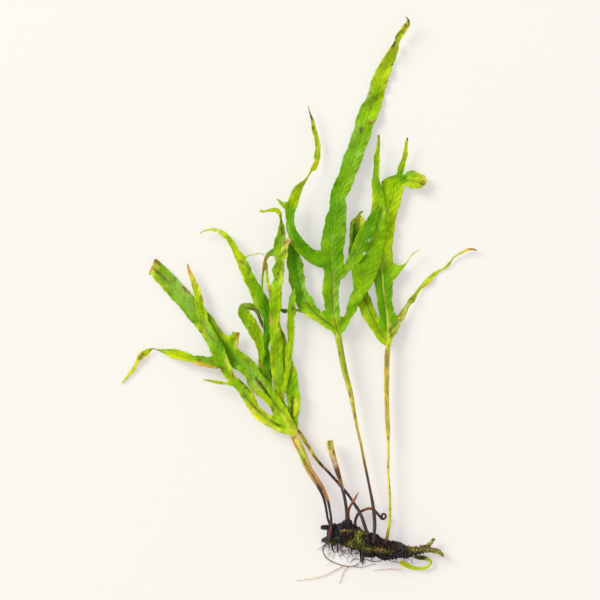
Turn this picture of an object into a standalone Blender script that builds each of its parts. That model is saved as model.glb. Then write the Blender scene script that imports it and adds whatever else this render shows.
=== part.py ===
"""A java fern lying on a flat surface, seen from above: bpy, metres, +Z up.

The plant is a creeping rhizome with five forked fronds, a cut stem, a coiled young frond, a pointed shoot,
a small leaf and six long roots. Each frond is a stem and a blade. A blade is one thin sheet: a main lobe
with side lobes that grow out of its edges. Outlines are given in pixels of a photograph taken straight
down, 0.4 mm to a pixel, and heights in millimetres above the surface. The origin is under the middle of
the plant, on the surface that it lies on.
"""

from math import pi

import bmesh
import bpy
import numpy as np

# Driving dimensions, in metres
PIXEL = 0.0004
MIDDLE = (299.05, 300.65)
SHEET_THICKNESS = 0.0005
ROW_SPACING = 0.0031
MAIN_COLUMNS = 4
NARROWEST = 0.00018
LOWEST_SHEET = 0.0003
FAN_SHARE = 1.3
WIDTH_SHARE = 0.8
LEAST_COSINE = 0.35
SLOPE_STRETCH = 0.0012
SEARCH_ROWS = 600
JOINT_GAP = 0.0003
STEM_SPACING = 0.0055
ROOT_RADIUS = 0.00022
ROOT_SPACING = 0.003
STUB_SPACING = 0.0018
RHIZOME_SIDES = 14
RHIZOME_SPACING = 0.0016
RHIZOME_HEIGHT = 0.0033
LUMP_LENGTH = 0.0022
COIL_POINTS = 15
BLOCK_SIZE = (0.3, 0.3, 0.02)
COIL_TUBE_RADII = (0.0005, 0.00034)
FIDDLEHEAD_POINTS = 9

# Colours: name, sRGB, roughness
FINISHES = {
    "leaf": ((0.40, 0.62, 0.06), 0.42),
    "leaf_stem": ((0.62, 0.56, 0.20), 0.5),
    "dark_stem": ((0.24, 0.18, 0.15), 0.6),
    "rhizome_bark": ((0.15, 0.13, 0.12), 0.7),
    "young_shoot": ((0.42, 0.20, 0.10), 0.5),
    "root_skin": ((0.50, 0.38, 0.28), 0.6),
}

# Each lobe's spine is a list of (x, y, half width) in pixels, from its base to its tip. Its base is the
# stretch of the parent's edge that it grows from. Heights are (share of length, millimetres), and turns
# are (share of length, degrees) of its left edge upwards. A level lobe is measured along level lines.
# Centre frond
CENTRE_MAIN = dict(
    spine=(
        (338, 336, 3.2), (336, 330, 4.7), (334.5, 322, 6.5), (332.3, 312, 7.1), (331.5, 300, 7.4),
        (330.4, 290, 8.7), (331.5, 280, 8.2), (332.6, 272, 8.3), (333, 262, 10.5), (331.7, 250, 11.3),
        (333.4, 240, 11.9), (334.7, 230, 11.5), (335.5, 219, 10.3), (338.3, 208, 8.6), (337.8, 197, 8.2),
        (340.9, 190, 9.3), (347.2, 175, 8.9), (352.2, 160, 9.7), (357.8, 145, 9.2), (360.6, 136, 9.8),
        (363.2, 129, 8.6), (365.7, 121, 10.1), (370.9, 106, 10), (374.7, 99, 8.5), (379.6, 80, 8.2),
        (384.1, 70, 7.6), (388, 61, 6.8), (391.3, 54, 5.6), (394.3, 48, 4), (396.5, 43, 2.6),
        (399.2, 37, 3.5), (403.2, 30, 3.9), (406.7, 24.3, 2.6), (408.2, 20.5, 1), (405.8, 17.3, 0.5),
    ),
    heights=(
        (0, 5.4), (0.12, 5.6), (0.28, 5.2), (0.45, 4.0), (0.62, 2.2), (0.75, 1.0), (0.86, 2.1), (1, 5.6),
    ),
    turns=((0, 0), (0.3, 6), (0.6, -8), (0.86, 10), (0.9, 55), (0.93, 20), (1, -20)),
    level=True,
)
CENTRE_LEFT_UPPER = dict(
    base=((320.6, 251), (324, 268)),
    spine=(
        (321, 259.7, 8.7), (315, 257.6, 7.3), (308.6, 254.1, 6.7), (303, 249, 6.2), (297.5, 242, 6),
        (293.5, 235, 5.5), (290.5, 228, 4.4), (290, 220, 4), (290.2, 213, 4.6), (291.2, 207, 5.9),
        (293.3, 201, 5), (295, 195, 4.9), (297.6, 190.2, 3.9), (301.3, 185.3, 2.7), (305.4, 180.3, 1.2),
        (308.3, 175.7, 0.7), (311, 171, 1.2), (314, 167.5, 2.6), (316.5, 162, 2.4), (317.5, 154, 3),
        (317.7, 146, 2.6), (316.7, 139, 2.3), (314.7, 131, 2.2), (312.8, 123, 1.9), (311.3, 117.5, 1),
        (309.5, 112, 0.6), (308.3, 106.5, 0.4),
    ),
    heights=((0, 5.2), (0.12, 6.4), (0.3, 6.6), (0.5, 5.4), (0.7, 3.4), (1, 4.2)),
    turns=((0, 0), (0.3, -15), (0.45, 20), (0.53, 50), (0.6, 30), (1, 10)),
)
CENTRE_LEFT_UPPER_TOOTH = dict(
    base=((285.2, 209.5), (287, 203)),
    spine=((286, 206, 3.3), (281.5, 203.5, 1.9), (279, 201, 1.1), (276.5, 199, 0.5)),
    heights=((0, 6.0), (1, 6.4)),
)
CENTRE_LEFT_LOWER = dict(
    base=((325.2, 311), (331.3, 331)),
    spine=(
        (329, 320, 8), (321, 317.5, 5.8), (313.5, 312.5, 6), (306, 304, 8.6), (301, 296, 7.5),
        (298.7, 288, 6.6), (297.1, 280, 8.2), (295.6, 271, 7.6), (294.5, 263, 7.9), (293.3, 255, 6.3),
        (292, 247, 4.5), (291, 240, 2.5),
    ),
    heights=((0, 5.5), (0.2, 5.0), (0.45, 4.0), (0.7, 3.6), (1, 4.6)),
    turns=((0, 0), (0.3, -14), (0.7, 12), (1, 0)),
)
CENTRE_LEFT_LOWER_TOOTH = dict(
    base=((303.5, 312.7), (300.5, 308.3)),
    spine=(
        (301, 311, 2.2), (297, 310, 1.3), (292, 310.2, 0.9), (288.5, 310.3, 1.2), (284.5, 310.9, 2.6),
        (282, 310.2, 1.7), (280.4, 309.6, 0.7),
    ),
    heights=((0, 4.2), (0.4, 3.4), (1, 3.2)),
)
CENTRE_RIGHT_UPPER = dict(
    base=((343, 264.5), (341, 280)),
    spine=(
        (342.3, 272.2, 6.2), (347, 268, 4.2), (352, 262, 6), (357, 254, 7), (361, 245, 7.5),
        (365, 235, 7), (369, 226, 6), (373, 218, 4.5), (376, 210, 2.5), (378, 204, 0.8),
    ),
    heights=((0, 5.2), (0.25, 5.6), (0.6, 5.7), (1, 5.2)),
    turns=((0, 0), (0.5, 10), (1, -10)),
)
CENTRE_RIGHT_LOWER = dict(
    base=((340.5, 318), (341.5, 333)),
    spine=(
        (342, 326, 6.5), (347.5, 317, 3.8), (350.7, 309.8, 4.8), (355.3, 299.8, 5.8), (360, 290.6, 7.2),
        (362.2, 281.8, 10.1), (364.4, 271.6, 12.7), (368.3, 262, 12.2), (371.4, 252, 11.6), (374, 242, 11),
        (376.5, 232, 10), (378, 222, 8.5), (379, 212, 7.5), (378.5, 203, 6.8), (377.8, 195, 5.7),
        (376.5, 187, 4.6), (376, 180, 3.9), (376, 173, 3), (376.3, 165, 2.9), (376.7, 157, 2.6),
        (377.7, 150, 2), (378.2, 143, 1.5), (378.4, 135, 0.7),
    ),
    heights=((0, 5.5), (0.2, 5.0), (0.45, 4.2), (0.7, 3.6), (0.85, 3.9), (1, 5.4)),
    turns=((0, 0), (0.4, 5), (0.7, -12), (1, 20)),
)

# Right frond
RIGHT_MAIN = dict(
    spine=(
        (388, 347, 2), (388, 340, 4), (388, 330, 5.5), (387.5, 322, 6.5), (387, 314, 7.8),
        (385.2, 305, 7.8), (384.1, 297, 7.9), (383.9, 290, 8.3), (383.7, 282, 9.3), (383, 272, 10),
        (382.8, 262, 10), (383, 252, 9.5), (384, 242, 9), (385, 232, 9), (386.5, 222, 9),
        (388.5, 213, 9), (390.5, 204, 9.3), (392.3, 195, 9.6), (393, 187, 11.2), (393.8, 181, 11.8),
        (396.2, 177.3, 8.6), (399.2, 174.5, 3.7), (400.8, 169, 3.2), (403, 163, 2.9), (404.7, 157.5, 2.6),
        (405.5, 150, 1.9), (406, 144, 1.3), (407.3, 138, 0.6),
    ),
    heights=((0, 4.2), (0.25, 3.2), (0.5, 2.4), (0.7, 2.0), (0.82, 2.6), (1, 4.8)),
    turns=((0, 0), (0.5, 6), (0.75, -8), (1, 25)),
    level=True,
)
RIGHT_END = dict(
    base=((403.6, 174.5), (404.2, 186.2)),
    spine=(
        (404.3, 180.3, 6), (407.5, 179.5, 7.7), (412, 179.5, 8.9), (418, 180.6, 8), (423, 180.8, 5.8),
        (425.3, 181.5, 3.2), (426.6, 182.2, 1.2),
    ),
    heights=((0, 2.6), (0.5, 3.5), (1, 3.0)),
)
RIGHT_LEFT_LOWER = dict(
    base=((380.3, 319.5), (385.6, 345.5)),
    spine=(
        (382.5, 334.5, 8), (374.8, 324.3, 6.2), (370.9, 316.9, 6.7), (366.6, 307.2, 7.1), (362.3, 297.4, 7),
        (359.2, 286, 5.4), (356.5, 272, 5.1), (354.3, 260, 5.4), (354, 248, 5),
        (355, 238, 5.5), (356.4, 228, 6.2), (358.5, 221, 6.3), (359.3, 217.6, 4.2), (358.8, 214.8, 1.6),
        (360.3, 212.7, 1.2), (363, 211.2, 0.8),
    ),
    heights=((0, 4.0), (0.2, 3.0), (0.5, 2.0), (0.8, 2.4), (1, 3.4)),
    turns=((0, 0), (0.5, 10), (1, 0)),
)
RIGHT_RIGHT_LOWER = dict(
    base=((394.7, 314.5), (392, 338)),
    spine=(
        (393, 327, 5.5), (397, 321, 4.5), (401.5, 316, 3.2), (405, 310.5, 2.8), (408.5, 304, 2),
        (412, 299.5, 3), (416, 294, 1.6), (419.5, 289.3, 1.5), (423.5, 285.5, 2.2), (427.5, 281.5, 2.8),
        (431, 277.3, 2.6), (435, 273.5, 1.7), (439, 271, 1.1), (443.5, 268.8, 0.8), (447.5, 266, 1.4),
        (450.5, 262.2, 1.1), (453.5, 257.5, 0.9), (458, 254.3, 0.9), (463, 251.8, 1.1),
        (467.5, 249.8, 1.2), (472, 249.2, 1), (477, 250.3, 0.5),
    ),
    heights=((0, 3.8), (0.2, 2.6), (0.45, 0.9), (0.6, 0.5), (0.8, 1.4), (1, 2.2)),
    turns=((0, 0), (0.3, 40), (0.5, -20), (0.62, 30), (1, 0)),
)
RIGHT_TOOTH = dict(
    base=((393, 263), (393, 280)),
    spine=(
        (394, 270.5, 6), (399, 268.5, 3.4), (402.5, 266.5, 1.8), (405.5, 264, 0.8), (408, 260.5, 0.5),
        (410.5, 256.5, 0.5), (414, 252.7, 0.6), (420, 249.5, 0.4),
    ),
    heights=((0, 2.8), (0.5, 3.2), (1, 3.8)),
)

# Left frond
LEFT_MAIN = dict(
    spine=(
        (295, 435.4, 3.4), (292.4, 431.3, 5), (286.5, 421.5, 6.5), (280.2, 411.8, 7.1),
        (274.5, 401.4, 6.6), (267.7, 393.8, 7.9), (261.7, 387.4, 8.8), (256.3, 380.9, 8.7),
        (252.8, 374.2, 8.2), (247.5, 367.5, 8.5), (241.5, 362.5, 8.9), (235, 357.5, 8.8),
        (228, 350, 9.3), (220.5, 343, 9.5), (213.5, 335, 9.3), (207, 326.5, 9.8), (201, 318.5, 9.3),
        (193.8, 310.5, 9.2), (187.3, 303.1, 8.8), (180.7, 295.7, 8.7), (173.9, 288, 8.8),
        (167.7, 281.7, 8.7), (161.8, 275.2, 8.2), (157, 269.4, 7.7), (153.9, 267, 8.0),
        (151.4, 266.2, 8.3),
    ),
    heights=((0, 5.4), (0.2, 5.0), (0.4, 3.9), (0.6, 2.4), (0.8, 1.0), (1, 0.7)),
    turns=((0, 0), (0.3, 8), (0.6, -6), (1, 0)),
)
LEFT_TOOTH = dict(
    base=((237, 345), (228.5, 336)),
    spine=((232.5, 340.3, 5.6), (235.2, 337, 4), (235.7, 334.5, 3.8), (235.8, 332, 3.9)),
    heights=((0, 3.2), (1, 3.4)),
)
LEFT_RIBBON = dict(
    base=((273.3, 415.5), (288, 433)),
    spine=(
        (281.2, 424.2, 7.6), (276.4, 423.6, 6), (270.5, 421.4, 5.4), (265.2, 418.6, 5.3),
        (259.9, 414.1, 5.4), (255, 408.7, 5.2), (251, 402.5, 5.4), (248.3, 396.6, 6.1),
        (244.2, 390.3, 5.4), (238.6, 384.4, 4.9), (232.8, 379.3, 4.3), (229, 375, 4.6),
        (227.2, 369.9, 5.4), (224, 363.5, 6.2), (220.3, 356.7, 7), (217.3, 349.5, 7),
        (212.9, 340.7, 6.2), (207.8, 330.5, 6), (203.9, 322.7, 4.6), (202.5, 315.3, 4.8),
        (201, 309, 4.5), (199, 301.2, 4.2), (197.5, 294.7, 3.9), (196.2, 288.2, 3.4),
        (193.9, 281.2, 2.9), (191.4, 275.7, 2.3), (188.9, 270.2, 1.5), (187.2, 263.7, 0.6),
    ),
    heights=((0, 5.2), (0.1, 5.0), (0.3, 5.6), (0.55, 5.4), (0.75, 4.2), (0.9, 3.2), (1, 3.6)),
    turns=((0, 0), (0.2, 15), (0.5, -10), (0.8, 12), (1, 0)),
)
LEFT_SIDE = dict(
    base=((212.5, 356.5), (219.5, 368.5)),
    spine=(
        (216, 363.5, 6.5), (207, 362, 5.2), (200, 360.5, 4.8), (192, 358.3, 3.8), (184, 356.3, 4.6),
        (176, 354.3, 4.6), (169.5, 352.3, 3.8), (164, 351, 2.2), (159.5, 350.2, 1), (156, 349.5, 0.7),
        (152.8, 348.8, 0.5), (150, 350, 1.3), (146, 352.7, 2.9), (141.5, 355.3, 3.3), (138, 359.3, 2.2),
        (136, 364, 1.7), (133.2, 369.3, 1.8), (129.5, 373.5, 1.4), (126, 378, 1), (121.5, 383.5, 0.5),
    ),
    heights=((0, 5.2), (0.2, 4.2), (0.5, 2.2), (0.65, 1.6), (0.85, 0.8), (1, 0.5)),
    turns=((0, 0), (0.3, 15), (0.6, -30), (0.75, 10), (1, 0)),
)
LEFT_SPIKE = dict(
    base=((233.5, 385.8), (228.5, 380)),
    spine=(
        (231, 382.8, 2.2), (227, 383.4, 1.1), (221.5, 382.6, 1.6), (215.5, 381.6, 1.7), (210, 380.6, 1.2),
        (203.5, 379.7, 0.5),
    ),
    heights=((0, 5.5), (1, 4.4)),
)

# Inner left frond
INNER_LEFT_MAIN = dict(
    spine=(
        (290, 428, 3.5), (285, 416, 5), (279, 404, 4.6), (271.6, 392, 3.3), (268.2, 382, 3.4),
        (267.4, 370, 4.5), (267, 358, 4), (265.9, 348, 2.4), (266.8, 338, 3.4), (267.2, 326, 3.8),
        (266.4, 317, 4.4), (264.6, 309, 5.9), (261.5, 302, 7.6), (258.3, 296.3, 7), (254.6, 288.3, 5.8),
        (250.5, 280, 5.6), (245.7, 270.5, 5.6), (241.8, 262, 4.8), (238.2, 254.3, 3.9), (234, 246.7, 3.1),
        (229.7, 240.5, 2.8), (225, 235.3, 2.6), (220, 231.7, 2.2), (215, 229.7, 1.6), (209.5, 229.7, 1.1),
        (204, 231, 0.8), (199.8, 233.8, 0.5),
    ),
    heights=((0, 2.0), (0.2, 2.0), (0.4, 3.2), (0.55, 4.4), (0.75, 4.6), (1, 3.2)),
    turns=((0, 0), (0.3, 20), (0.5, 0), (0.8, 15), (1, 0)),
)
INNER_LEFT_FOLD = dict(
    base=((263.2, 376), (262.6, 356)),
    spine=(
        (264, 366, 6), (261.8, 353, 4), (259.3, 341, 5), (253.4, 328.5, 6.2), (247.2, 318.5, 6.1),
        (243.8, 311.6, 5.4), (245, 307.9, 4.9), (250, 306.7, 3.8), (255, 308.4, 2.8), (257.9, 313, 1.8),
        (260, 318.5, 1.5), (262, 324, 1.5), (265, 330, 1),
    ),
    heights=((0, 2.4), (0.25, 3.2), (0.55, 5.2), (0.68, 5.6), (0.76, 4.4), (0.85, 2.8), (1, 2.2)),
    turns=((0, 0), (0.4, 10), (0.65, 0), (1, 0)),
)
INNER_LEFT_TENDRIL = dict(
    base=((245.3, 259.2), (243.7, 256.5)),
    spine=((244.5, 258, 1.2), (248, 255.7, 0.6), (254, 254.6, 0.5), (260, 253.4, 0.5), (264.3, 254.7, 0.4)),
    heights=((0, 4.6), (1, 4.0)),
)

# Inner right frond
INNER_RIGHT_MAIN = dict(
    spine=(
        (295.4, 427, 2.8), (293.8, 418, 4.6), (293.7, 408, 6.1), (293.5, 398, 6.5), (292, 388, 6.8),
        (291, 378, 6.8), (288, 368, 6.5), (285.5, 358, 5.5), (283, 348, 5), (281.2, 338, 4),
        (279, 328, 2.6), (277, 318, 1.2),
    ),
    heights=((0, 3.6), (0.4, 3.0), (0.7, 2.6), (1, 2.8)),
    turns=((0, 0), (0.5, -10), (1, 0)),
)
INNER_RIGHT_TALL = dict(
    base=((289.5, 420), (288, 410)),
    spine=(
        (288.8, 415, 4.2), (283.8, 407, 3.2), (281.3, 400, 3.4), (279.3, 389, 4.6), (278.6, 380, 5.9),
        (277.3, 370, 6.3), (277, 360, 6), (276.7, 350, 6.4), (276, 340, 6), (275, 328, 5),
        (274.7, 316, 5), (275.5, 304, 5.9), (275.8, 294, 6.2), (276.1, 286.5, 5.8), (278.4, 279, 4.3),
        (278.2, 271.6, 6), (280.3, 264, 4.7), (280, 257, 5.5), (279.5, 250, 6.4), (280, 243, 5.5),
        (281.5, 236, 4.6), (281.6, 228, 3.1), (280.8, 220, 1.2), (280, 214.5, 1.5), (278, 211, 2.4),
        (274, 210, 2.2), (268, 210.7, 1.2), (262, 211.5, 1.1), (259.8, 210.8, 0.8),
    ),
    heights=((0, 3.4), (0.1, 3.6), (0.3, 5.0), (0.5, 6.6), (0.7, 7.6), (0.85, 7.4), (1, 6.2)),
    turns=((0, 0), (0.3, 12), (0.6, -10), (0.8, 15), (1, 0)),
)
INNER_RIGHT_CRUMPLE = dict(
    base=((285, 259), (285.6, 250)),
    spine=(
        (284.8, 254.5, 3.5), (285.5, 249, 2.2), (286.5, 244.5, 1.8), (288, 241, 2.6), (289.8, 238.5, 1.4),
    ),
    heights=((0, 7.6), (0.5, 8.0), (1, 8.2)),
)
INNER_RIGHT_LOOP = dict(
    base=((273.9, 256), (273.2, 248)),
    spine=(
        (272.5, 252, 3.4), (268.8, 254.5, 2.4), (266, 259, 1.8), (264.6, 265, 1.5), (263.2, 272, 1.3),
        (262.5, 280, 1), (262.3, 290, 0.9), (263, 300, 0.8),
    ),
    heights=((0, 7.6), (0.4, 7.0), (1, 5.6)),
)
INNER_RIGHT_STRAND = dict(
    base=((267, 262.5), (265.6, 267)),
    spine=((266, 265, 1.6), (266.8, 272, 1.3), (267, 279, 1.6), (268.5, 286, 1.5), (270, 293, 1)),
    heights=((0, 7.0), (1, 6.4)),
)
INNER_RIGHT_SIDE = dict(
    base=((283.6, 393.5), (284.6, 384)),
    spine=(
        (284.2, 389, 3.3), (285.4, 382.5, 2.6), (286.8, 374, 2.8), (288, 364, 3), (289, 354, 3.4),
        (290, 344, 3.3), (290.7, 335, 2.9), (290.7, 328, 3.8), (291, 320, 3.5), (291.5, 312, 4.3),
        (291.5, 305, 3.6), (292.5, 298, 3), (294, 292, 1.8), (294.5, 288, 0.7),
    ),
    heights=((0, 3.6), (0.3, 4.6), (0.6, 5.2), (1, 6.2)),
    turns=((0, 0), (0.5, 10), (1, 0)),
)


# Small young leaf under the rhizome's right end
YOUNG_LEAF = dict(
    spine=(
        (413.3, 557.4, 0.8), (416.3, 557.4, 1.7), (420, 558, 2.4), (424.5, 558.3, 2.3), (428.5, 559.9, 1.6),
        (431, 562.2, 1.2), (430, 565.4, 1.2), (426, 567.9, 1.4), (418.5, 568.7, 1.7), (411, 567.4, 2),
        (406, 565.2, 2.9), (402.5, 563.8, 2.3), (399, 562.6, 0.9),
    ),
    heights=((0, 1.4), (0.3, 1.8), (0.7, 0.8), (1, 0.4)),
)

# Each frond: its main lobe, then its side lobes with the number of the lobe that each grows from.
FRONDS = {
    "centre_frond_blade": (
        (None, CENTRE_MAIN), (0, CENTRE_LEFT_UPPER), (1, CENTRE_LEFT_UPPER_TOOTH), (0, CENTRE_LEFT_LOWER),
        (3, CENTRE_LEFT_LOWER_TOOTH), (0, CENTRE_RIGHT_UPPER), (0, CENTRE_RIGHT_LOWER),
    ),
    "right_frond_blade": (
        (None, RIGHT_MAIN), (0, RIGHT_END), (0, RIGHT_LEFT_LOWER), (0, RIGHT_RIGHT_LOWER), (0, RIGHT_TOOTH),
    ),
    "left_frond_blade": (
        (None, LEFT_MAIN), (0, LEFT_TOOTH), (0, LEFT_RIBBON), (2, LEFT_SIDE), (2, LEFT_SPIKE),
    ),
    "inner_left_frond_blade": (
        (None, INNER_LEFT_MAIN), (0, INNER_LEFT_FOLD), (0, INNER_LEFT_TENDRIL),
    ),
    "inner_right_frond_blade": (
        (None, INNER_RIGHT_MAIN), (0, INNER_RIGHT_TALL), (1, INNER_RIGHT_CRUMPLE), (1, INNER_RIGHT_LOOP),
        (3, INNER_RIGHT_STRAND), (1, INNER_RIGHT_SIDE),
    ),
    "young_leaf": ((None, YOUNG_LEAF),),
}

# Round pieces: (x, y, width) in pixels along each, and its heights as above.
STEMS = {
    "centre_frond_stem": dict(
        line=(
            (338.3, 337.5, 6.8), (339.5, 344, 6.6), (341.5, 355, 6.2), (344.5, 370, 5.8), (347.5, 382, 5.4),
            (350.7, 394, 4.8), (355.6, 421, 3.2), (358, 432, 2.8), (360.5, 442, 2.7), (364, 460, 2.7),
            (366, 470, 2.7), (370, 490, 2.8), (372, 500, 3.3), (373.6, 511, 3.6), (374.5, 525, 3.7),
            (373.5, 537, 3.6),
        ),
        heights=((0, 5.4), (0.4, 4.8), (0.7, 4.7), (0.9, 5.2), (1, 5.2)),
    ),
    "right_frond_stem": dict(
        line=(
            (387.6, 348.6, 5), (386.9, 358, 5.3), (386.6, 370, 5.3), (386.5, 385, 5.2), (386.7, 405, 4.8),
            (387.9, 430, 4.3), (388, 440, 3.1), (388.2, 455, 2.6), (388, 470, 2.5), (389.5, 495, 2.6),
            (389.8, 510, 2.7), (389.6, 520, 2.7), (388.5, 528, 3), (386.5, 539, 3.4), (385, 544, 3.4),
        ),
        heights=((0, 4.2), (0.4, 4.0), (0.8, 4.4), (1, 4.4)),
    ),
    "left_frond_stem": dict(
        line=(
            (297.4, 440, 5.8), (300, 445, 5.4), (303.8, 453, 5), (307, 461, 4.8), (310.6, 469, 4.4),
            (315.3, 476, 4.1), (320, 483, 3.8), (323.9, 490, 3.5), (326.7, 497, 3.2), (328.7, 504, 2.8),
            (330, 511, 2.6), (331, 518, 2.8), (331, 525, 3), (330.4, 532, 3),
        ),
        heights=((0, 5.4), (0.5, 5.8), (0.85, 6.4), (1, 5.4)),
    ),
    "inner_left_frond_stem": dict(
        line=(
            (290.8, 430.6, 4), (293, 438, 4.2), (297.2, 446.5, 4.2), (300.9, 455, 3.8), (303.7, 463, 3.4),
            (308.2, 471.4, 3.3), (312.9, 478.8, 3.2), (317.3, 485.3, 3.1), (321, 491.8, 3),
            (323.9, 498.8, 2.8), (325.4, 505, 2.6), (326.7, 512, 2.5), (327.6, 518, 2.4), (330, 525, 2.6),
        ),
        heights=((0, 2.2), (0.3, 3.4), (0.7, 3.6), (1, 3.6)),
    ),
    "inner_right_frond_stem": dict(
        line=(
            (297.2, 429.6, 4), (301, 435, 4), (305, 441, 4), (309, 447, 3.8), (312.5, 453, 3.5),
            (316.5, 459, 3.3), (321, 464.5, 3), (326, 469.5, 2.9), (331, 475, 2.8), (336, 480.5, 2.8),
            (341, 486.5, 2.8), (346, 492, 2.8), (350.5, 498, 2.8), (354.5, 504, 3.1), (358.5, 510, 3.3),
            (361, 515, 3.4), (364.5, 525, 3.5), (367, 533, 3.4),
        ),
        heights=((0, 3.6), (0.3, 3.5), (0.45, 3.2), (0.6, 3.4), (0.8, 4.7), (1, 4.6)),
    ),
    "cut_stem": dict(
        line=(
            (329.2, 440.6, 7.4), (331.3, 450, 6.5), (334, 460, 5.8), (337, 470, 5), (339.5, 478, 4.2),
            (342, 487, 3.5), (344, 495, 3.1), (345.5, 503, 3.1), (346.5, 511, 3.2), (347, 521, 3.4),
        ),
        heights=((0, 5.0), (0.5, 5.5), (0.8, 5.2), (1, 4.6)),
    ),
    "young_spike": dict(
        line=(
            (348.8, 520, 2.7), (348.2, 513, 2.7), (349, 508, 2.6), (351, 504, 2.5), (353.5, 500.3, 2.4),
            (355.5, 496.5, 2), (358.5, 491.5, 0.9),
        ),
        heights=((0, 5.6), (0.4, 6.8), (0.7, 7.2), (1, 6.8)),
    ),
}
FIDDLEHEAD_LINE = (
    (356, 529, 3), (355.2, 522, 3), (356.5, 517, 2.9), (359.5, 512.6, 2.8), (364, 510, 2.8),
    (370, 508.5, 2.8), (374, 510, 2.7), (377.5, 513.5, 2.6),
)
FIDDLEHEAD_HEIGHTS = ((0, 4.2), (0.3, 3.0), (1, 3.0))
COIL_CENTRE = (383.2, 515.8)
COIL_RADIUS = 0.00135
COIL_INNER_RADIUS = 0.00042
COIL_START = 235
COIL_SWEEP = 350
STEM_FINISHES = {
    "cut_stem": "leaf_stem",
    "young_spike": "young_shoot",
    "inner_right_frond_stem": "dark_stem",
}

# Each root: its line, then the lines of its branches
ROOTS = {
    "root_1": (
        ((328, 543), (324, 547), (323.2, 552), (326.5, 558.5), (332, 562), (338, 564.6), (344, 566.2),
         (350, 566.8), (354.5, 566), (358, 564)),
        ((344, 566.2), (338, 569.5), (332, 572.5), (325, 576), (318, 578), (310, 579.5), (303, 580.3),
         (296, 581.2)),
        ((349.5, 566.8), (346, 569.5), (343.5, 573), (342, 578), (339.5, 584)),
        ((352.5, 566.6), (358, 567.6), (366, 567), (371, 565.2), (375, 564.5)),
    ),
    "root_2": (((358.7, 559.4), (355, 559.6), (352, 561), (350, 563.5)),),
    "root_3": (((365.8, 559), (369, 560.8), (375, 562), (380, 561.6), (384.3, 559.8)),),
    "root_4": (((402.6, 569.6), (399, 569.8), (393, 569.4), (385, 570), (374, 571)),),
    "root_5": (((385, 556), (388.5, 560.2), (393, 562.2), (398, 563)),),
    "root_6": (((341, 544), (341, 551), (344, 554), (349, 554.6)),),
}
# Short roots fused with the rhizome: (x, y, width)
SHORT_ROOTS = (
    ((329.2, 538, 1), (329.2, 545, 1), (329.4, 549.6, 0.9)),
    ((332, 538, 1.8), (332, 547, 1.7), (334, 552.8, 1.1)),
    ((337.3, 539, 1.3), (337.3, 547, 1.3), (337.6, 552, 1.1)),
    ((351.6, 541, 1.3), (351.5, 549, 1.3), (351.6, 555, 1.1)),
    ((357.5, 542, 1.2), (358.6, 552, 1.2), (355.5, 554.4, 1.1)),
    ((361, 545, 2.6), (360.8, 554, 2.6), (361.1, 562.3, 1.6)),
    ((364.5, 547, 2.2), (363.4, 557, 2.2), (362.8, 564.3, 1.2)),
)
SHORT_ROOT_HEIGHTS = ((0, 2.6), (0.5, 1.6), (1, 0.55))
ROOT_HEIGHTS = ((0, 1.6), (0.35, 0.6), (1, 0.3))
BRANCH_HEIGHTS = ((0, 0.42), (1, 0.3))

# Rhizome: (x, y, radius) in pixels along its middle, knobs as (x, y, height mm, spread mm, swelling mm),
# and the stubs and tips as lines of (x, y, width) with their height.
RHIZOME_LINE = (
    (327, 536, 6), (331, 535, 8.2), (338, 534.5, 9), (346, 535, 9.6), (355, 538.5, 9.2), (365, 542, 9.4),
    (375, 545.5, 9), (385, 549, 8.5), (392, 549.9, 7.8), (400, 550.4, 6.8), (408, 551.7, 5.2),
    (416, 550.7, 3.8), (424, 549, 3.6), (431, 547.8, 2.4),
)
KNOBS = (
    (347.2, 523, 4.6, 2.5, 3.5), (333, 527, 4.2, 2.0, 1.0), (367, 552, 2.4, 2.6, 1.8),
    (383, 556, 2.4, 2.4, 1.1), (396, 555, 2.6, 2.0, 0.6), (358, 531, 5.4, 2.0, 1.2),
    (377, 538, 4.6, 1.8, 0.9), (330, 543, 2.6, 2.0, 1.0), (397, 543, 4.0, 1.8, 0.5),
    (365.5, 538.5, 5.6, 2.3, 1.2), (352, 543, 5.6, 2.2, 0.8), (385, 547, 6.0, 2.4, 0.8),
    (341, 531, 6.4, 2.0, 0.7),
)
STUBS = (
    (((333, 527.5, 6), (327, 527.3, 5.6), (322.8, 527.4, 4.9)), 3.6),
    (((332, 539.5, 7.2), (327, 540, 6.8), (323.6, 540.3, 4.8)), 2.9),
    (((424, 549, 5.6), (428.3, 545.5, 4.8), (431.3, 542.3, 3.8), (433.5, 539.3, 3)), 3.2),
    (((424, 549.5, 6), (432, 550.2, 5.4), (438, 551.6, 5), (441, 553.6, 4), (442.8, 555.6, 3)), 2.8),
    (((384, 548, 5), (386, 543, 4.6), (386.3, 541, 4.2)), 4.2),
)


def place(x, y):
    """Pixels to metres: +X to the photograph's right, +Y to its top."""
    return (np.asarray(x, float) - MIDDLE[0]) * PIXEL, (MIDDLE[1] - np.asarray(y, float)) * PIXEL


def through(knots, values, wanted):
    """A smooth curve through the values at the knots: cubic pieces whose slopes are a parabola's."""
    knots = np.asarray(knots, float)
    values = np.asarray(values, float)
    slopes = np.gradient(values, knots, axis=0)
    piece = np.clip(np.searchsorted(knots, wanted, side="right") - 1, 0, len(knots) - 2)
    step = knots[piece + 1] - knots[piece]
    share = (wanted - knots[piece]) / step
    if values.ndim > 1:
        share, step = share[:, None], step[:, None]
    return (
        (2 * share**3 - 3 * share**2 + 1) * values[piece]
        + (share**3 - 2 * share**2 + share) * step * slopes[piece]
        + (3 * share**2 - 2 * share**3) * values[piece + 1]
        + (share**3 - share**2) * step * slopes[piece + 1]
    )


def ease(value):
    """0 below 0, 1 above 1, and a smooth rise between them."""
    value = np.clip(value, 0, 1)
    return value * value * (3 - 2 * value)


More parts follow.
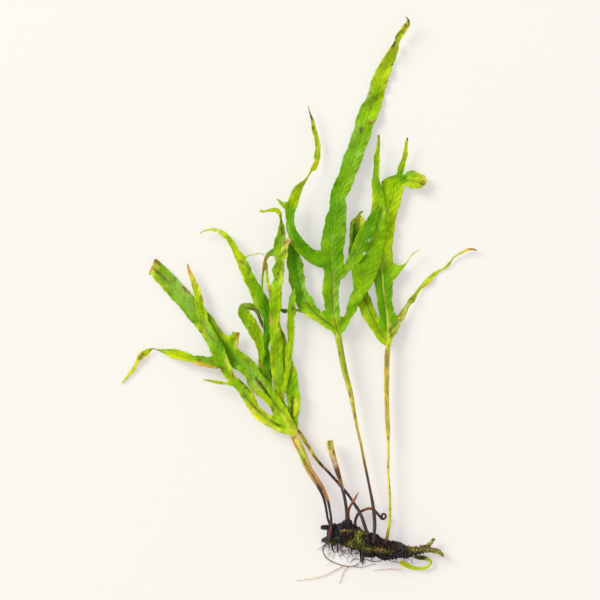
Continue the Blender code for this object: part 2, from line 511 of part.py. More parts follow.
def smooth_line(stations, heights):
    """A line of (x, y, width) pixels as fine points: distance along it, (x, y, z) and width, in metres."""
    stations = np.array(stations, float)
    x, y = place(stations[:, 0], stations[:, 1])
    knots = np.concatenate([[0], np.cumsum(np.hypot(np.diff(x), np.diff(y)))])
    fine = np.linspace(0, knots[-1], max(20, int(knots[-1] / 0.0002)))
    path = through(knots, np.column_stack([x, y, stations[:, 2] * PIXEL]), fine)
    heights = np.array(heights, float)
    height = through(heights[:, 0], heights[:, 1], fine / knots[-1]) / 1000
    return fine, np.column_stack([path[:, :2], height]), path[:, 2]


def read_at(fine, values, wanted):
    """Each column of the values, read at the wanted distances."""
    return np.column_stack([np.interp(wanted, fine, column) for column in values.T])


def sideways(fine, path, wanted):
    """Unit directions to the left of the path, from its slope averaged over a short stretch."""
    apart = fine[None, :] - wanted[:, None]
    weight = np.exp(-((apart / SLOPE_STRETCH) ** 2))
    weight /= weight.sum(axis=1)[:, None]
    centred = weight * (apart - (weight * apart).sum(axis=1)[:, None])
    slope = centred @ path[:, :2]
    slope /= np.linalg.norm(slope, axis=1)[:, None]
    return np.column_stack([-slope[:, 1], slope[:, 0]])


def lobe_rows(lobe, stops=()):
    """Rows across a lobe: distance, middle, half width, left direction and tilt, with a row on each stop."""
    fine, path, half = smooth_line(lobe["spine"], lobe["heights"])
    length = fine[-1]
    stops = np.unique(np.clip(np.concatenate([[0, length], np.asarray(stops, float)]), 0, length))
    stops = stops[np.concatenate([[True], np.diff(stops) > 1e-5])]
    runs = [
        np.linspace(start, end, max(1, round((end - start) / ROW_SPACING)), endpoint=False)
        for start, end in zip(stops[:-1], stops[1:])
    ]
    at = np.concatenate(runs + [[length]])
    left = sideways(fine, path, at)
    if lobe.get("level"):
        left[:] = (-1, 0)
    turns = np.array(lobe.get("turns", ((0, 0), (1, 0))), float)
    tilt = np.tan(np.radians(np.interp(at / length, turns[:, 0], turns[:, 1])))
    width = np.maximum(np.interp(at, fine, half), NARROWEST)
    return at, read_at(fine, path, at), width, left, tilt


def turned(direction, angle):
    """Flat directions turned by the angles, anticlockwise."""
    x, y = direction[:, 0], direction[:, 1]
    return np.column_stack([x * np.cos(angle) - y * np.sin(angle), x * np.sin(angle) + y * np.cos(angle)])


def lobe_grid(lobe, stops, first=None):
    """The lobe's corners as rows from base to tip, each from left to right.

    Without a first row the lobe stands alone. With one, the rows fan out from that row, which is a
    stretch of the parent's edge, and turn square to the spine within about that row's length.
    """
    at, middle, half, left, tilt = lobe_rows(lobe, stops)
    columns = MAIN_COLUMNS if first is None else len(first) - 1
    across = np.linspace(1, -1, columns + 1)
    if first is not None:
        span = first[0, :2] - first[-1, :2]
        reach = np.linalg.norm(span) / 2
        before = np.arctan2(left[:, 1], left[:, 0])
        swing = (np.arctan2(span[1], span[0]) - before + pi) % (2 * pi) - pi
        swing *= 1 - ease(at / (FAN_SHARE * reach))
        left = turned(left, swing)
        settled = ease(at / (WIDTH_SHARE * reach))
        half = (1 - settled) * reach + settled * half / np.maximum(np.cos(swing), LEAST_COSINE)
    grid = np.empty((len(at), columns + 1, 3))
    grid[:, :, :2] = middle[:, None, :2] + left[:, None, :] * (half[:, None] * across[None, :])[:, :, None]
    grid[:, :, 2] = middle[:, None, 2] + (tilt * half)[:, None] * across[None, :]
    if first is not None:
        kept = 1 - ease(at / (FAN_SHARE * reach))
        grid += kept[:, None, None] * (first - grid[0])[None, :, :]
    grid[1:, :, 2] = np.maximum(grid[1:, :, 2], LOWEST_SHEET)
    return at, grid


def nearest(points, wanted):
    """The number of the point nearest to a pixel."""
    x, y = place(*wanted)
    return int(np.argmin(np.hypot(points[:, 0] - x, points[:, 1] - y)))


def base_on(grid, base):
    """Which edge of the grid the base lies on, as 0 or -1, and the two rows at its ends, in order."""
    found = []
    for column in (0, -1):
        edge = grid[:, column]
        rows = [nearest(edge, end) for end in base]
        x, y = place(*np.array(base, float).T)
        found.append((np.hypot(edge[rows, 0] - x, edge[rows, 1] - y).sum(), column, min(rows), max(rows)))
    return min(found)[1:]


def frond_sheet(lobes):
    """Corners and faces of a frond's sheet: side lobes share corners with the edges they grow from."""
    stops = [[] for _ in lobes]
    for parent, lobe in lobes:
        if parent is not None:
            whole = lobes[parent][1]
            at, grid = lobe_grid(whole, np.linspace(0, spine_length(whole), SEARCH_ROWS))
            _, start, end = base_on(grid, lobe["base"])
            stops[parent] += [at[start], at[end]]
    grids = []
    numbers = []
    corners = np.empty((0, 3))
    faces = []
    for number, (parent, lobe) in enumerate(lobes):
        if parent is None:
            _, grid = lobe_grid(lobe, stops[number])
            own = np.arange(grid.shape[0] * grid.shape[1]).reshape(grid.shape[:2])
            corners = grid.reshape(-1, 3)
        else:
            column, start, end = base_on(grids[parent], lobe["base"])
            shared = numbers[parent][start:end + 1, column]
            if column == -1:
                shared = shared[::-1]
            _, grid = lobe_grid(lobe, stops[number], corners[shared])
            fresh = grid[1:]
            own = np.arange(fresh.shape[0] * fresh.shape[1]).reshape(fresh.shape[:2]) + len(corners)
            own = np.vstack([shared, own])
            corners = np.vstack([corners, fresh.reshape(-1, 3)])
        grids.append(grid)
        numbers.append(own)
        quads = np.stack([own[:-1, :-1], own[1:, :-1], own[1:, 1:], own[:-1, 1:]], axis=-1)
        faces += quads.reshape(-1, 4).tolist()
    return corners, faces


def spine_length(lobe):
    """The length of a lobe's spine in metres."""
    fine, _, _ = smooth_line(lobe["spine"], lobe["heights"])
    return fine[-1]


def finish(name):
    """A Principled material of the named colour, made once."""
    if name in bpy.data.materials:
        return bpy.data.materials[name]
    colour, roughness = FINISHES[name]
    material = bpy.data.materials.new(name)
    material.use_nodes = True
    shader = material.node_tree.nodes["Principled BSDF"]
    linear = [(c / 12.92 if c <= 0.04045 else ((c + 0.055) / 1.055) ** 2.4) for c in colour]
    shader.inputs["Base Color"].default_value = (*linear, 1)
    shader.inputs["Roughness"].default_value = roughness
    shader.inputs["Metallic"].default_value = 0
    return material


def add_mesh(name, corners, faces, material, collection):
    """A mesh object of the corners and faces, in the collection."""
    mesh = bpy.data.meshes.new(name)
    mesh.from_pydata([tuple(map(float, corner)) for corner in corners], [], faces)
    mesh.update()
    piece = bpy.data.objects.new(name, mesh)
    if material:
        mesh.materials.append(finish(material))
    collection.objects.link(piece)
    return piece


def add_blade(name, lobes, plant):
    """A frond's blade: its sheet, given the thickness of a leaf."""
    corners, faces = frond_sheet(lobes)
    blade = add_mesh(name, corners, faces, "leaf", plant)
    wall = blade.modifiers.new("leaf thickness", "SOLIDIFY")
    wall.thickness = SHEET_THICKNESS
    wall.offset = 0
    wall.use_even_offset = False
    blade.data.shade_smooth()
    return blade


def add_tube(name, points, radii, material, collection, roundness=2):
    """A round piece: a curve through the points with a radius at each and filled ends."""
    curve = bpy.data.curves.new(name, "CURVE")
    curve.dimensions = "3D"
    curve.bevel_depth = 1
    curve.bevel_resolution = roundness
    curve.use_fill_caps = True
    spline = curve.splines.new("POLY")
    spline.points.add(len(points) - 1)
    for point, place_of, radius in zip(spline.points, points, radii):
        point.co = (*map(float, place_of), 1)
        point.radius = float(radius)
    piece = bpy.data.objects.new(name, curve)
    if material:
        curve.materials.append(finish(material))
    collection.objects.link(piece)
    return piece


def as_mesh(piece):
    """The curve object made a closed mesh object of the same name and place."""
    name, collection = piece.name, piece.users_collection[0]
    bpy.context.view_layer.update()
    graph = bpy.context.evaluated_depsgraph_get()
    mesh = bpy.data.meshes.new_from_object(piece.evaluated_get(graph))
    work = bmesh.new()
    work.from_mesh(mesh)
    bmesh.ops.remove_doubles(work, verts=work.verts, dist=1e-6)
    work.to_mesh(mesh)
    work.free()
    matrix = piece.matrix_world.copy()
    bpy.data.objects.remove(piece)
    solid = bpy.data.objects.new(name, mesh)
    solid.matrix_world = matrix
    collection.objects.link(solid)
    mesh.name = name
    return solid


def combine(piece, other, operation):
    """An EXACT Boolean of the piece with another object."""
    step = piece.modifiers.new(operation.lower() + " " + other.name, "BOOLEAN")
    step.operation = operation
    step.solver = "EXACT"
    step.object = other


def line_tube(name, line, heights, spacing, material, collection, roundness=2):
    """A tube along a line of (x, y, width) pixels."""
    fine, path, width = smooth_line(line, heights)
    count = max(3, round(fine[-1] / spacing) + 1)
    at = np.linspace(0, fine[-1], count)
    radii = np.interp(at, fine, width) / 2
    return add_tube(name, read_at(fine, path, at), radii, material, collection, roundness)


def fiddlehead_path():
    """The coiled young frond: its line, then a spiral that winds in on the coil's centre."""
    fine, path, width = smooth_line(FIDDLEHEAD_LINE, FIDDLEHEAD_HEIGHTS)
    at = np.linspace(0, fine[-1], FIDDLEHEAD_POINTS)
    angles = np.radians(COIL_START + np.linspace(0, COIL_SWEEP, COIL_POINTS))
    radius = np.linspace(COIL_RADIUS, COIL_INNER_RADIUS, COIL_POINTS)
    x, y = place(*COIL_CENTRE)
    height = np.full(COIL_POINTS, path[-1, 2])
    coil = np.column_stack([x + radius * np.cos(angles), y + radius * np.sin(angles), height])
    coil_radii = np.linspace(*COIL_TUBE_RADII, COIL_POINTS)
    radii = np.concatenate([np.interp(at, fine, width) / 2, coil_radii])
    return np.vstack([read_at(fine, path, at), coil]), radii


def rhizome_sheet(swell):
    """The rhizome's skin: lumpy rings along its line, swollen by a set amount, with a face at each end."""
    line = [(x, y, 2 * radius) for x, y, radius in RHIZOME_LINE]
    fine, path, width = smooth_line(line, ((0, RHIZOME_HEIGHT * 1000), (1, RHIZOME_HEIGHT * 1000)))
    at = np.linspace(0, fine[-1], round(fine[-1] / RHIZOME_SPACING) + 1)
    middle = read_at(fine, path, at)
    left = sideways(fine, path, at)
    radius = np.interp(at, fine, width) / 2
    around = np.arange(RHIZOME_SIDES) * 2 * pi / RHIZOME_SIDES
    turn, along = np.meshgrid(around, at / LUMP_LENGTH)
    lumps = 1 + 0.06 * np.sin(2 * turn + 1.7 * along) + 0.05 * np.sin(3 * turn - 2.3 * along + 1)
    lumps += 0.04 * np.sin(5 * turn + 0.9 * along + 2)
    out = np.dstack([left[:, None, 0] * np.cos(turn), left[:, None, 1] * np.cos(turn), np.sin(turn)])
    reach = radius[:, None] * lumps
    skin = middle[:, None, :] + out * reach[:, :, None]
    for x, y, height, spread, swelling in KNOBS:
        centre = np.array([*place(x, y), height / 1000])
        apart = np.linalg.norm(skin - centre, axis=2)
        reach = reach + swelling / 1000 * np.exp(-((apart / spread * 1000) ** 2))
    rings = middle[:, None, :] + out * (reach + swell)[:, :, None]
    onward = middle[-1] - middle[-2]
    rings[0] -= swell * (middle[1] - middle[0]) / np.linalg.norm(middle[1] - middle[0])
    rings[-1] += swell * onward / np.linalg.norm(onward)
    number = np.arange(len(at) * RHIZOME_SIDES).reshape(len(at), RHIZOME_SIDES)
    beside = np.roll(number, -1, axis=1)
    quads = np.stack([number[:-1], beside[:-1], beside[1:], number[1:]], axis=-1).reshape(-1, 4)
    faces = quads.tolist() + [number[0][::-1].tolist(), number[-1].tolist()]
    return rings.reshape(-1, 3), faces


def add_rhizome(name, swell, material, collection, helpers):
    """The rhizome with its stubs and tips joined on, all swollen by the same amount."""
    corners, faces = rhizome_sheet(swell)
    body = add_mesh(name, corners, faces, material, collection)
    body.data.shade_smooth()
    for number, (line, height) in enumerate(STUBS):
        line = [(x, y, width + 2 * swell / PIXEL) for x, y, width in line]
        label = f"{name}_stub_{number + 1}"
        stub = line_tube(label, line, ((0, height), (1, height)), STUB_SPACING, None, helpers, 1)
        combine(body, as_mesh(stub), "UNION")
    return body


def add_short_roots(rhizome, helpers):
    """The short roots, which grow out of the rhizome's underside and are one with it."""
    for number, line in enumerate(SHORT_ROOTS):
        label = f"short_root_{number + 1}"
        root = line_tube(label, line, SHORT_ROOT_HEIGHTS, STUB_SPACING, None, helpers, 0)
        combine(rhizome, as_mesh(root), "UNION")


def add_root(name, lines, clearance, plant, helpers):
    """A root with its branches joined on, cut short of the rhizome."""
    root = None
    for number, line in enumerate(lines):
        line = [(x, y, 2 * ROOT_RADIUS / PIXEL) for x, y in line]
        home, label = (helpers, f"{name}_branch_{number}") if root else (plant, name)
        heights = BRANCH_HEIGHTS if root else ROOT_HEIGHTS
        tube = as_mesh(line_tube(label, line, heights, ROOT_SPACING, "root_skin", home, 0))
        if root:
            combine(root, tube, "UNION")
        root = root or tube
    combine(root, clearance, "DIFFERENCE")


def move_to(piece, collection):
    """Takes the piece out of its collections and into this one."""
    for old in list(piece.users_collection):
        old.objects.unlink(piece)
    collection.objects.link(piece)


def add_floor_cut(helpers):
    """The block below the surface, which cuts the rhizome's resting face."""
    bpy.ops.mesh.primitive_cube_add(size=1)
    block = bpy.context.object
    block.name = "below_surface"
    block.scale = BLOCK_SIZE
    block.location = (0, 0, -BLOCK_SIZE[2] / 2)
    move_to(block, helpers)
    return block


def clear_scene():
    """Removes the objects, meshes and collections that are there at the start."""
    for old in list(bpy.data.objects):
        bpy.data.objects.remove(old)
    for old in list(bpy.data.collections):
        bpy.data.collections.remove(old)


def hide(collection):
    """Keeps the helpers out of the model."""
    for helper in collection.objects:
        helper.hide_render = True
        helper.display_type = "WIRE"


def main():
    clear_scene()
    plant = bpy.data.collections.new("java_fern")
    helpers = bpy.data.collections.new("cutters")
    bpy.context.scene.collection.children.link(plant)
    bpy.context.scene.collection.children.link(helpers)
    rhizome = add_rhizome("rhizome", 0, "rhizome_bark", plant, helpers)
    add_short_roots(rhizome, helpers)
    combine(rhizome, add_floor_cut(helpers), "DIFFERENCE")
    clearance = add_rhizome("rhizome_clearance", JOINT_GAP, None, helpers, helpers)
    for name, lobes in FRONDS.items():
        add_blade(name, lobes, plant)
    for name, stem in STEMS.items():
        material = STEM_FINISHES.get(name, "leaf_stem")
        tube = line_tube(name, stem["line"], stem["heights"], STEM_SPACING, material, plant)
        combine(as_mesh(tube), clearance, "DIFFERENCE")
    points, radii = fiddlehead_path()
    coil = as_mesh(add_tube("fiddlehead", points, radii, "young_shoot", plant))
    combine(coil, clearance, "DIFFERENCE")
    for name, lines in ROOTS.items():
        add_root(name, lines, clearance, plant, helpers)
    hide(helpers)


main()
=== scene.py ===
"""Looks of a java fern that lies on a pale surface, seen from straight above.

Each frond's blade is a sheet of rows and columns along its lobes, and each petiole, root and hair is a tube
along a line. The lines are in pixels of a photograph taken straight down, 0.4 mm to a pixel, as in the
part's solids, so that the looks lie on them. Colours are laid on the corners from named tints and strokes,
and the materials add veins, mottling and gloss.
"""

import bpy
import numpy as np
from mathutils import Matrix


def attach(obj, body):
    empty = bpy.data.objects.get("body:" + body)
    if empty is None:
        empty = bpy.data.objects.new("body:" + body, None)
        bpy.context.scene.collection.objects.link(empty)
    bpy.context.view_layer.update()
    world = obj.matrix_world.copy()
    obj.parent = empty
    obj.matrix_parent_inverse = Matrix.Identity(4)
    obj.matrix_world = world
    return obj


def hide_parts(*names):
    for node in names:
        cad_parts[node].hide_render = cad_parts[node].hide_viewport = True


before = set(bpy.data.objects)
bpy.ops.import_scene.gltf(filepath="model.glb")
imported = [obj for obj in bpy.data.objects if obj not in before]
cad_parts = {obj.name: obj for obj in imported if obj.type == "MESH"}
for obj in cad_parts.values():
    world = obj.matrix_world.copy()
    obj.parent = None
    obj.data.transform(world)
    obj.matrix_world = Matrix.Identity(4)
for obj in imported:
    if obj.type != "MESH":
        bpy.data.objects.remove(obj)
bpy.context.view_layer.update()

# Lengths are in metres, unless a comment says otherwise.
# The photograph: metres to a pixel, the pixel over the origin, and its width in pixels
PIXEL = 0.0004
MIDDLE = (299.05, 300.65)
PICTURE_SIZE = 600

# Noise: how many sine waves, the range of their scales, and the height that it is divided by
NOISE_WAVES, NOISE_SCALES, NOISE_HEIGHT = 8, (0.7, 1.5), 2.8
UNEVEN_SEED, STROKE_SEED, TUFT_SEED, BARK_SEED, BLUE_HIGHLIGHT_SEED = 3, 5, 8, 11, 21

# Lines: distance between the fine points along one, and the stretch that its slope is averaged over
LINE_SPACING = 0.0002
LEAST_POINTS = 20
SLOPE_STRETCH = 0.0012

# Blades: thickness, distance between rows, columns of a main lobe, rows of the search for a lobe's base,
# least half width, and least height of the sheet over the surface
LEAF_THICKNESS = 0.00034
ROW_SPACING, SAME_ROW = 0.00028, 0.00001
MAIN_COLUMNS, SEARCH_ROWS = 40, 900
NARROWEST = 0.00016
LOWEST_SHEET = 0.0003
# How soon a side lobe turns square to its spine and takes its own width, as shares of half its base, and
# the least cosine of its turn that its width is divided by
FAN_SHARE, WIDTH_SHARE, LEAST_COSINE = 1.3, 0.8, 0.35

# Relief of a blade: its rib and the trough beside it, the waves of its edges, swells, and pads between
# veins. Phases are in radians, and a lobe of at least the half width FULL_RELIEF has all of it.
FULL_RELIEF = 0.0025
RIB_HEIGHT, RIB_WIDTH = 0.00016, 0.00036
TROUGH_DEPTH, TROUGH_WIDTH = 0.00014, 0.0012
EDGE_WAVE, WAVE_LENGTH, EDGE_POWER = 0.00042, 0.0011, 1.7
WAVE_DRIFT, DRIFT_LENGTH, FAR_SIDE_PHASE = 1.3, 0.0047, 1.9
SWELL, SWELL_LENGTH, SWELL_PHASE = 0.00026, 0.0026, 1.7
PAD_HEIGHT, PAD_ONSET = 0.00011, 0.0007
VEIN_SLANT, VEIN_SPACING = 1.15, 0.0029
# Raggedness of its edges: length, size, its limit as a share of the half width, and where it sets in
RAGGED_LENGTH, RAGGED_SIZE, RAGGED_SHARE, RAGGED_ONSET = 0.0019, 0.00014, 0.12, 0.006
RAGGED_PHASE, RAGGED_SEED_PHASE = 2.3, 1.3
# Sines of the raggedness: size, turns to one length, and phase to one of the first's
RAGGED_SINES = ((1, 1, 1), (0.7, 2.3, 3), (0.5, 4.9, 5))

# Round pieces: distance between rings, sides, and the angles in degrees of the rings that round an end
TUBE_SPACING = 0.00045
LEAST_RINGS = 4
STEM_SIDES = 20
ROUNDING = (15, 45, 75)
# A cut end: how far it bulges as a share of a round one, and its rings' radii as shares of its own
CUT_BULGE = 0.15
CUT_RINGS = (0.3, 0.97)
UNEVEN_LENGTH = 0.0012
STEM_UNEVENNESS = 0.06
# How far a petiole runs on under its blade, in pixels, and its width there as a share
STEM_OVERLAP, STEM_TOP_SHARE = 4, 0.6
# Coiled young frond: points along its line and its coil, and the coil's thickness as two radii
FIDDLEHEAD_POINTS, COIL_POINTS = 45, 40
COIL_TUBE_RADII = (0.0005, 0.00034)

# Rhizome: its middle's height, distance between rings, sides, the rounding of its ends, and its lumps as
# waves round it, each with size, turns round it, drift along it and phase
RHIZOME_HEIGHT = 0.0033
BARK_SPACING, BARK_SIDES = 0.00022, 110
END_LENGTH, LEAST_END = 0.0012, 0.02
LUMP_LENGTH = 0.0022
LUMPS = ((0.06, 2, 1.7, 0), (0.05, 3, -2.3, 1), (0.04, 5, 0.9, 2))
# Bark: height and length of its coarse and fine noise, depth, length and width of its furrows
COARSE_BARK, COARSE_LENGTH = 0.00032, 0.0016
FINE_BARK, FINE_LENGTH = 0.00028, 0.0007
FURROW_DEPTH, FURROW_LENGTH, FURROW_WIDTH = 0.0003, 0.0011, 0.14
# Length of the cloudy noise that lays the painted blue-grey highlight on the bark
BLUE_HIGHLIGHT_LENGTH = 0.0024
# Its stubs, tips and short roots
STUB_SPACING, STUB_SIDES, SHORT_ROOT_SIDES = 0.0003, 24, 12
STUB_UNEVENNESS = 0.12

# Roots and hairs: distance between rings, sides, and radii at the base and the end as shares
ROOT_SPACING = 0.0004
ROOT_SIDES, ROOT_TAPER = 10, (1.1, 0.7)
ROOT_UNEVENNESS = 0.15
HAIR_SIDES, HAIR_TAPER = 6, (1, 0.5)
# Kinds of hair: radius, height of the base in mm, and tints
DARK_TINTS = ((0, "black"), (1, "umber"))
DARK_HAIR = (0.00011, 1.6, DARK_TINTS)
PALE_HAIR = (0.00009, 1.2, ((0, "umber"), (0.4, "skin"), (1, "straw")))
TUFT_HAIR = (0.0001, 1.4, DARK_TINTS)
# Hairs of the tufts: how many, where along the rhizome's line, length and bow in pixels
TUFTS = ((60, (0.08, 0.42), (15, 27), 4), (60, (0.02, 0.8), (10, 15), 1.5))
TUFT_LEAN = 0.9

# Strokes: how much wider than named they fade out, and the size and length of the noise on their edges
STROKE_SPREAD = 1.35
STROKE_NOISE, STROKE_NOISE_LENGTH = 0.35, 0.0011
# How slowly a lobe's tint goes over from its middle's to its edge's
EDGE_TINT_POWER = 1.4

# Floor, light in watts, and camera with its lens in mm and the height that it is set for. Colours here are
# linear.
FLOOR_REACH, FLOOR_DROP = 1.5, 0.0001
FLOOR_COLOUR = (0.56, 0.575, 0.465, 1)
FLOOR_GLOW = (0.385, 0.343, 0.397, 1)
KEY_SIZE, KEY_POWER = 2.4, 190
KEY_COLOUR = (1, 0.985, 0.95)
KEY_PLACE = (-3.3, 2.4, 2.6)
SKY_COLOUR, SKY_STRENGTH = (1, 1, 1, 1), 0.62
LENS = 200
VIEW_HEIGHT = 0.003

# Tints, as sRGB from 0 to 255. Some stand in for light: the pale grey-green (130, 170, 56) and the near-white
# (222, 236, 196) are painted highlights on the leaves, the blue-grey (76, 78, 94) is a painted highlight on
# the rhizome, and the bright greens (214, 252, 14) and (146, 200, 16) are painted light over cast shadows.
# Others
# serve both: the pale grey (158, 150, 138) is the roots' colour and painted highlights on the rhizome, and
# the deep green (84, 142, 4), the darkest green (64, 116, 4) and black (40, 26, 16) are the plant's own
# colours and also painted shade at a fold, in gaps, in a rolled lobe's curl and in the rhizome's hollows.
TINTS = {
    "mid": (112, 158, 8), "bright": (138, 178, 10), "deep": (84, 142, 4), "shade": (64, 116, 4),
    "yellow": (210, 210, 24), "lime": (172, 196, 34), "acid": (166, 188, 6), "sheen": (130, 170, 56),
    "straw": (216, 212, 98), "tan": (212, 172, 112), "pink": (216, 182, 154), "orange": (222, 156, 66),
    "brown": (112, 70, 30), "black": (40, 26, 16), "olive": (126, 124, 38), "petiole": (204, 200, 66),
    "gold": (232, 212, 84), "rust": (154, 84, 38), "maroon": (102, 50, 32), "umber": (84, 60, 44),
    "wine": (60, 42, 38), "dusk": (64, 52, 50), "bark": (22, 17, 15), "painted_blue_highlight": (76, 78, 94),
    "moss": (112, 100, 26), "mustard": (166, 148, 26), "skin": (180, 140, 96), "ash": (158, 150, 138),
    "painted_glint": (222, 236, 196), "mulberry": (58, 40, 38), "soot": (10, 7, 6), "sun": (240, 238, 30),
    "painted_light": (214, 252, 14), "fresh": (146, 200, 16),
}

# A lobe's spine is a list of (x, y, half width) in pixels, from its base to its tip. Its base is the
# stretch of the parent's edge that it grows from. Heights are (share of length, millimetres), and turns
# are (share of length, degrees) of its left edge upwards. A level lobe is measured along level lines.
# Tints are (share of length, one tint or those at the left edge, the middle and the right edge). Ripples
# are how much the lobe waves and swells, and 1 where nothing is said. A stroke is its tint, half width in
# pixels and strength, then x and y of each point that it joins. A petiole's line is a list of (x, y, width)
# in pixels, from its top to its foot.

# Centre frond
CENTRE_MAIN = dict(
    spine=(
        (338, 336, 3.2), (336, 330, 4.7), (334.5, 322, 6.5), (332.3, 312, 7.1), (331.5, 300, 7.4),
        (330.4, 290, 8.7), (331.5, 280, 8.2), (332.6, 272, 8.3), (333, 262, 10.5), (331.7, 250, 11.3),
        (333.4, 240, 11.9), (334.7, 230, 11.5), (335.5, 219, 10.3), (338.3, 208, 8.6), (337.8, 197, 8.2),
        (340.9, 190, 9.3), (347.2, 175, 8.9), (352.2, 160, 9.7), (357.8, 145, 9.2), (360.6, 136, 9.8),
        (363.2, 129, 8.6), (365.7, 121, 10.1), (370.9, 106, 10), (374.7, 99, 8.5), (379.6, 80, 8.2),
        (384.1, 70, 7.6), (388, 61, 6.8), (391.3, 54, 5.6), (394.3, 48, 4), (396.5, 43, 2.6),
        (399.2, 37, 3.5), (403.2, 30, 3.9), (406.7, 24.3, 2.6), (408.2, 20.5, 1), (405.8, 17.3, 0.5),
    ),
    heights=((0, 5.4), (0.12, 5.6), (0.28, 5.2), (0.45, 4), (0.62, 2.2), (0.75, 1), (0.86, 2.1), (1, 5.6)),
    turns=((0, 0), (0.3, 6), (0.6, -8), (0.86, 10), (0.9, 55), (0.93, 20), (1, -20)),
    level=True,
    tints=(
        (0, "bright"), (0.03, "mid bright mid"), (0.08, "mid mid sheen"), (0.16, "bright mid sheen"),
        (0.2, "deep deep mid"), (0.26, "mid mid deep"), (0.33, "deep mid deep"), (0.38, "deep deep sheen"),
        (0.44, "deep mid mid"), (0.5, "deep mid sheen"), (0.63, "sheen mid mid"),
        (0.68, "mid bright bright"), (0.74, "sheen mid acid"), (0.8, "lime acid lime"), (0.85, "lime"),
        (0.88, "lime acid lime"), (0.92, "gold lime lime"), (0.96, "lime yellow straw"), (0.985, "brown"),
        (1, "brown"),
    ),
)
CENTRE_LEFT_UPPER = dict(
    base=((320.6, 251), (324, 268)),
    spine=(
        (321, 259.7, 8.7), (315, 257.6, 7.3), (308.6, 254.1, 6.7), (303, 249, 6.2), (297.5, 242, 6),
        (293.5, 235, 5.5), (290.5, 228, 4.4), (290, 220, 4), (290.2, 213, 4.6), (291.2, 207, 5.9),
        (293.3, 201, 5), (295, 195, 4.9), (297.6, 190.2, 3.9), (301.3, 185.3, 2.7), (305.4, 180.3, 1.2),
        (308.3, 175.7, 0.7), (311, 171, 1.2), (314, 167.5, 2.6), (316.5, 162, 2.4), (317.5, 154, 3),
        (317.7, 146, 2.6), (316.7, 139, 2.3), (314.7, 131, 2.2), (312.8, 123, 1.9), (311.3, 117.5, 1),
        (309.5, 112, 0.6), (308.3, 106.5, 0.4),
    ),
    heights=((0, 5.2), (0.12, 6.4), (0.3, 6.6), (0.5, 5.4), (0.7, 3.4), (1, 4.2)),
    turns=((0, 0), (0.3, -15), (0.45, 20), (0.53, 50), (0.6, 30), (1, 10)),
    tints=(
        (0, "mid"), (0.12, "mid deep deep"), (0.36, "mid deep deep"), (0.41, "bright acid acid"),
        (0.52, "lime"), (0.58, "straw lime lime"), (0.62, "yellow"), (0.66, "lime yellow straw"),
        (0.72, "bright lime yellow"), (0.82, "lime lime straw"), (0.91, "lime"), (0.93, "umber"),
        (0.965, "umber"), (0.98, "pink"), (1, "pink"),
    ),
)
CENTRE_LEFT_UPPER_TOOTH = dict(
    base=((285.2, 209.5), (287, 203)),
    spine=((286, 206, 3.3), (281.5, 203.5, 1.9), (279, 201, 1.1), (276.5, 199, 0.5)),
    heights=((0, 6), (1, 6.4)),
    tints=((0, "mid"), (1, "lime")),
    ripples=0.3,
)
CENTRE_LEFT_LOWER = dict(
    base=((325.2, 311), (331.3, 331)),
    spine=(
        (329, 320, 8), (321, 317.5, 5.8), (313.5, 312.5, 6), (306, 304, 8.6), (301, 296, 7.5),
        (298.7, 288, 6.6), (297.1, 280, 8.2), (295.6, 271, 7.6), (294.5, 263, 7.9), (293.3, 255, 6.3),
        (292, 247, 4.5), (291, 240, 2.5),
    ),
    heights=((0, 5.5), (0.2, 5), (0.45, 4), (0.7, 3.6), (1, 4.6)),
    turns=((0, 0), (0.3, -14), (0.7, 12), (1, 0)),
    tints=(
        (0, "mid"), (0.1, "lime bright mid"), (0.2, "lime mid mid"), (0.3, "mid"), (0.42, "deep deep sheen"),
        (0.55, "mid deep sheen"), (0.68, "mid deep mid"), (0.82, "deep"), (1, "deep"),
    ),
)
CENTRE_LEFT_LOWER_TOOTH = dict(
    base=((303.5, 312.7), (300.5, 308.3)),
    spine=(
        (301, 311, 2.2), (297, 310, 1.3), (292, 310.2, 0.9), (288.5, 310.3, 1.2), (284.5, 310.9, 2.6),
        (282, 310.2, 1.7), (280.4, 309.6, 0.7),
    ),
    heights=((0, 4.2), (0.4, 3.4), (1, 3.2)),
    tints=((0, "bright"), (0.25, "lime"), (0.6, "olive"), (0.8, "deep"), (1, "deep")),
    ripples=0.3,
)
CENTRE_RIGHT_UPPER = dict(
    base=((343, 264.5), (341, 280)),
    spine=(
        (342.3, 272.2, 6.2), (347, 268, 4.2), (352, 262, 6), (357, 254, 7), (361, 245, 7.5), (365, 235, 7),
        (369, 226, 6), (373, 218, 4.5), (376, 210, 2.5), (378, 204, 0.8),
    ),
    heights=((0, 5.2), (0.25, 5.6), (0.6, 5.7), (1, 5.2)),
    turns=((0, 0), (0.5, 10), (1, -10)),
    tints=((0, "bright"), (0.3, "mid"), (0.6, "mid deep deep"), (1, "deep")),
)
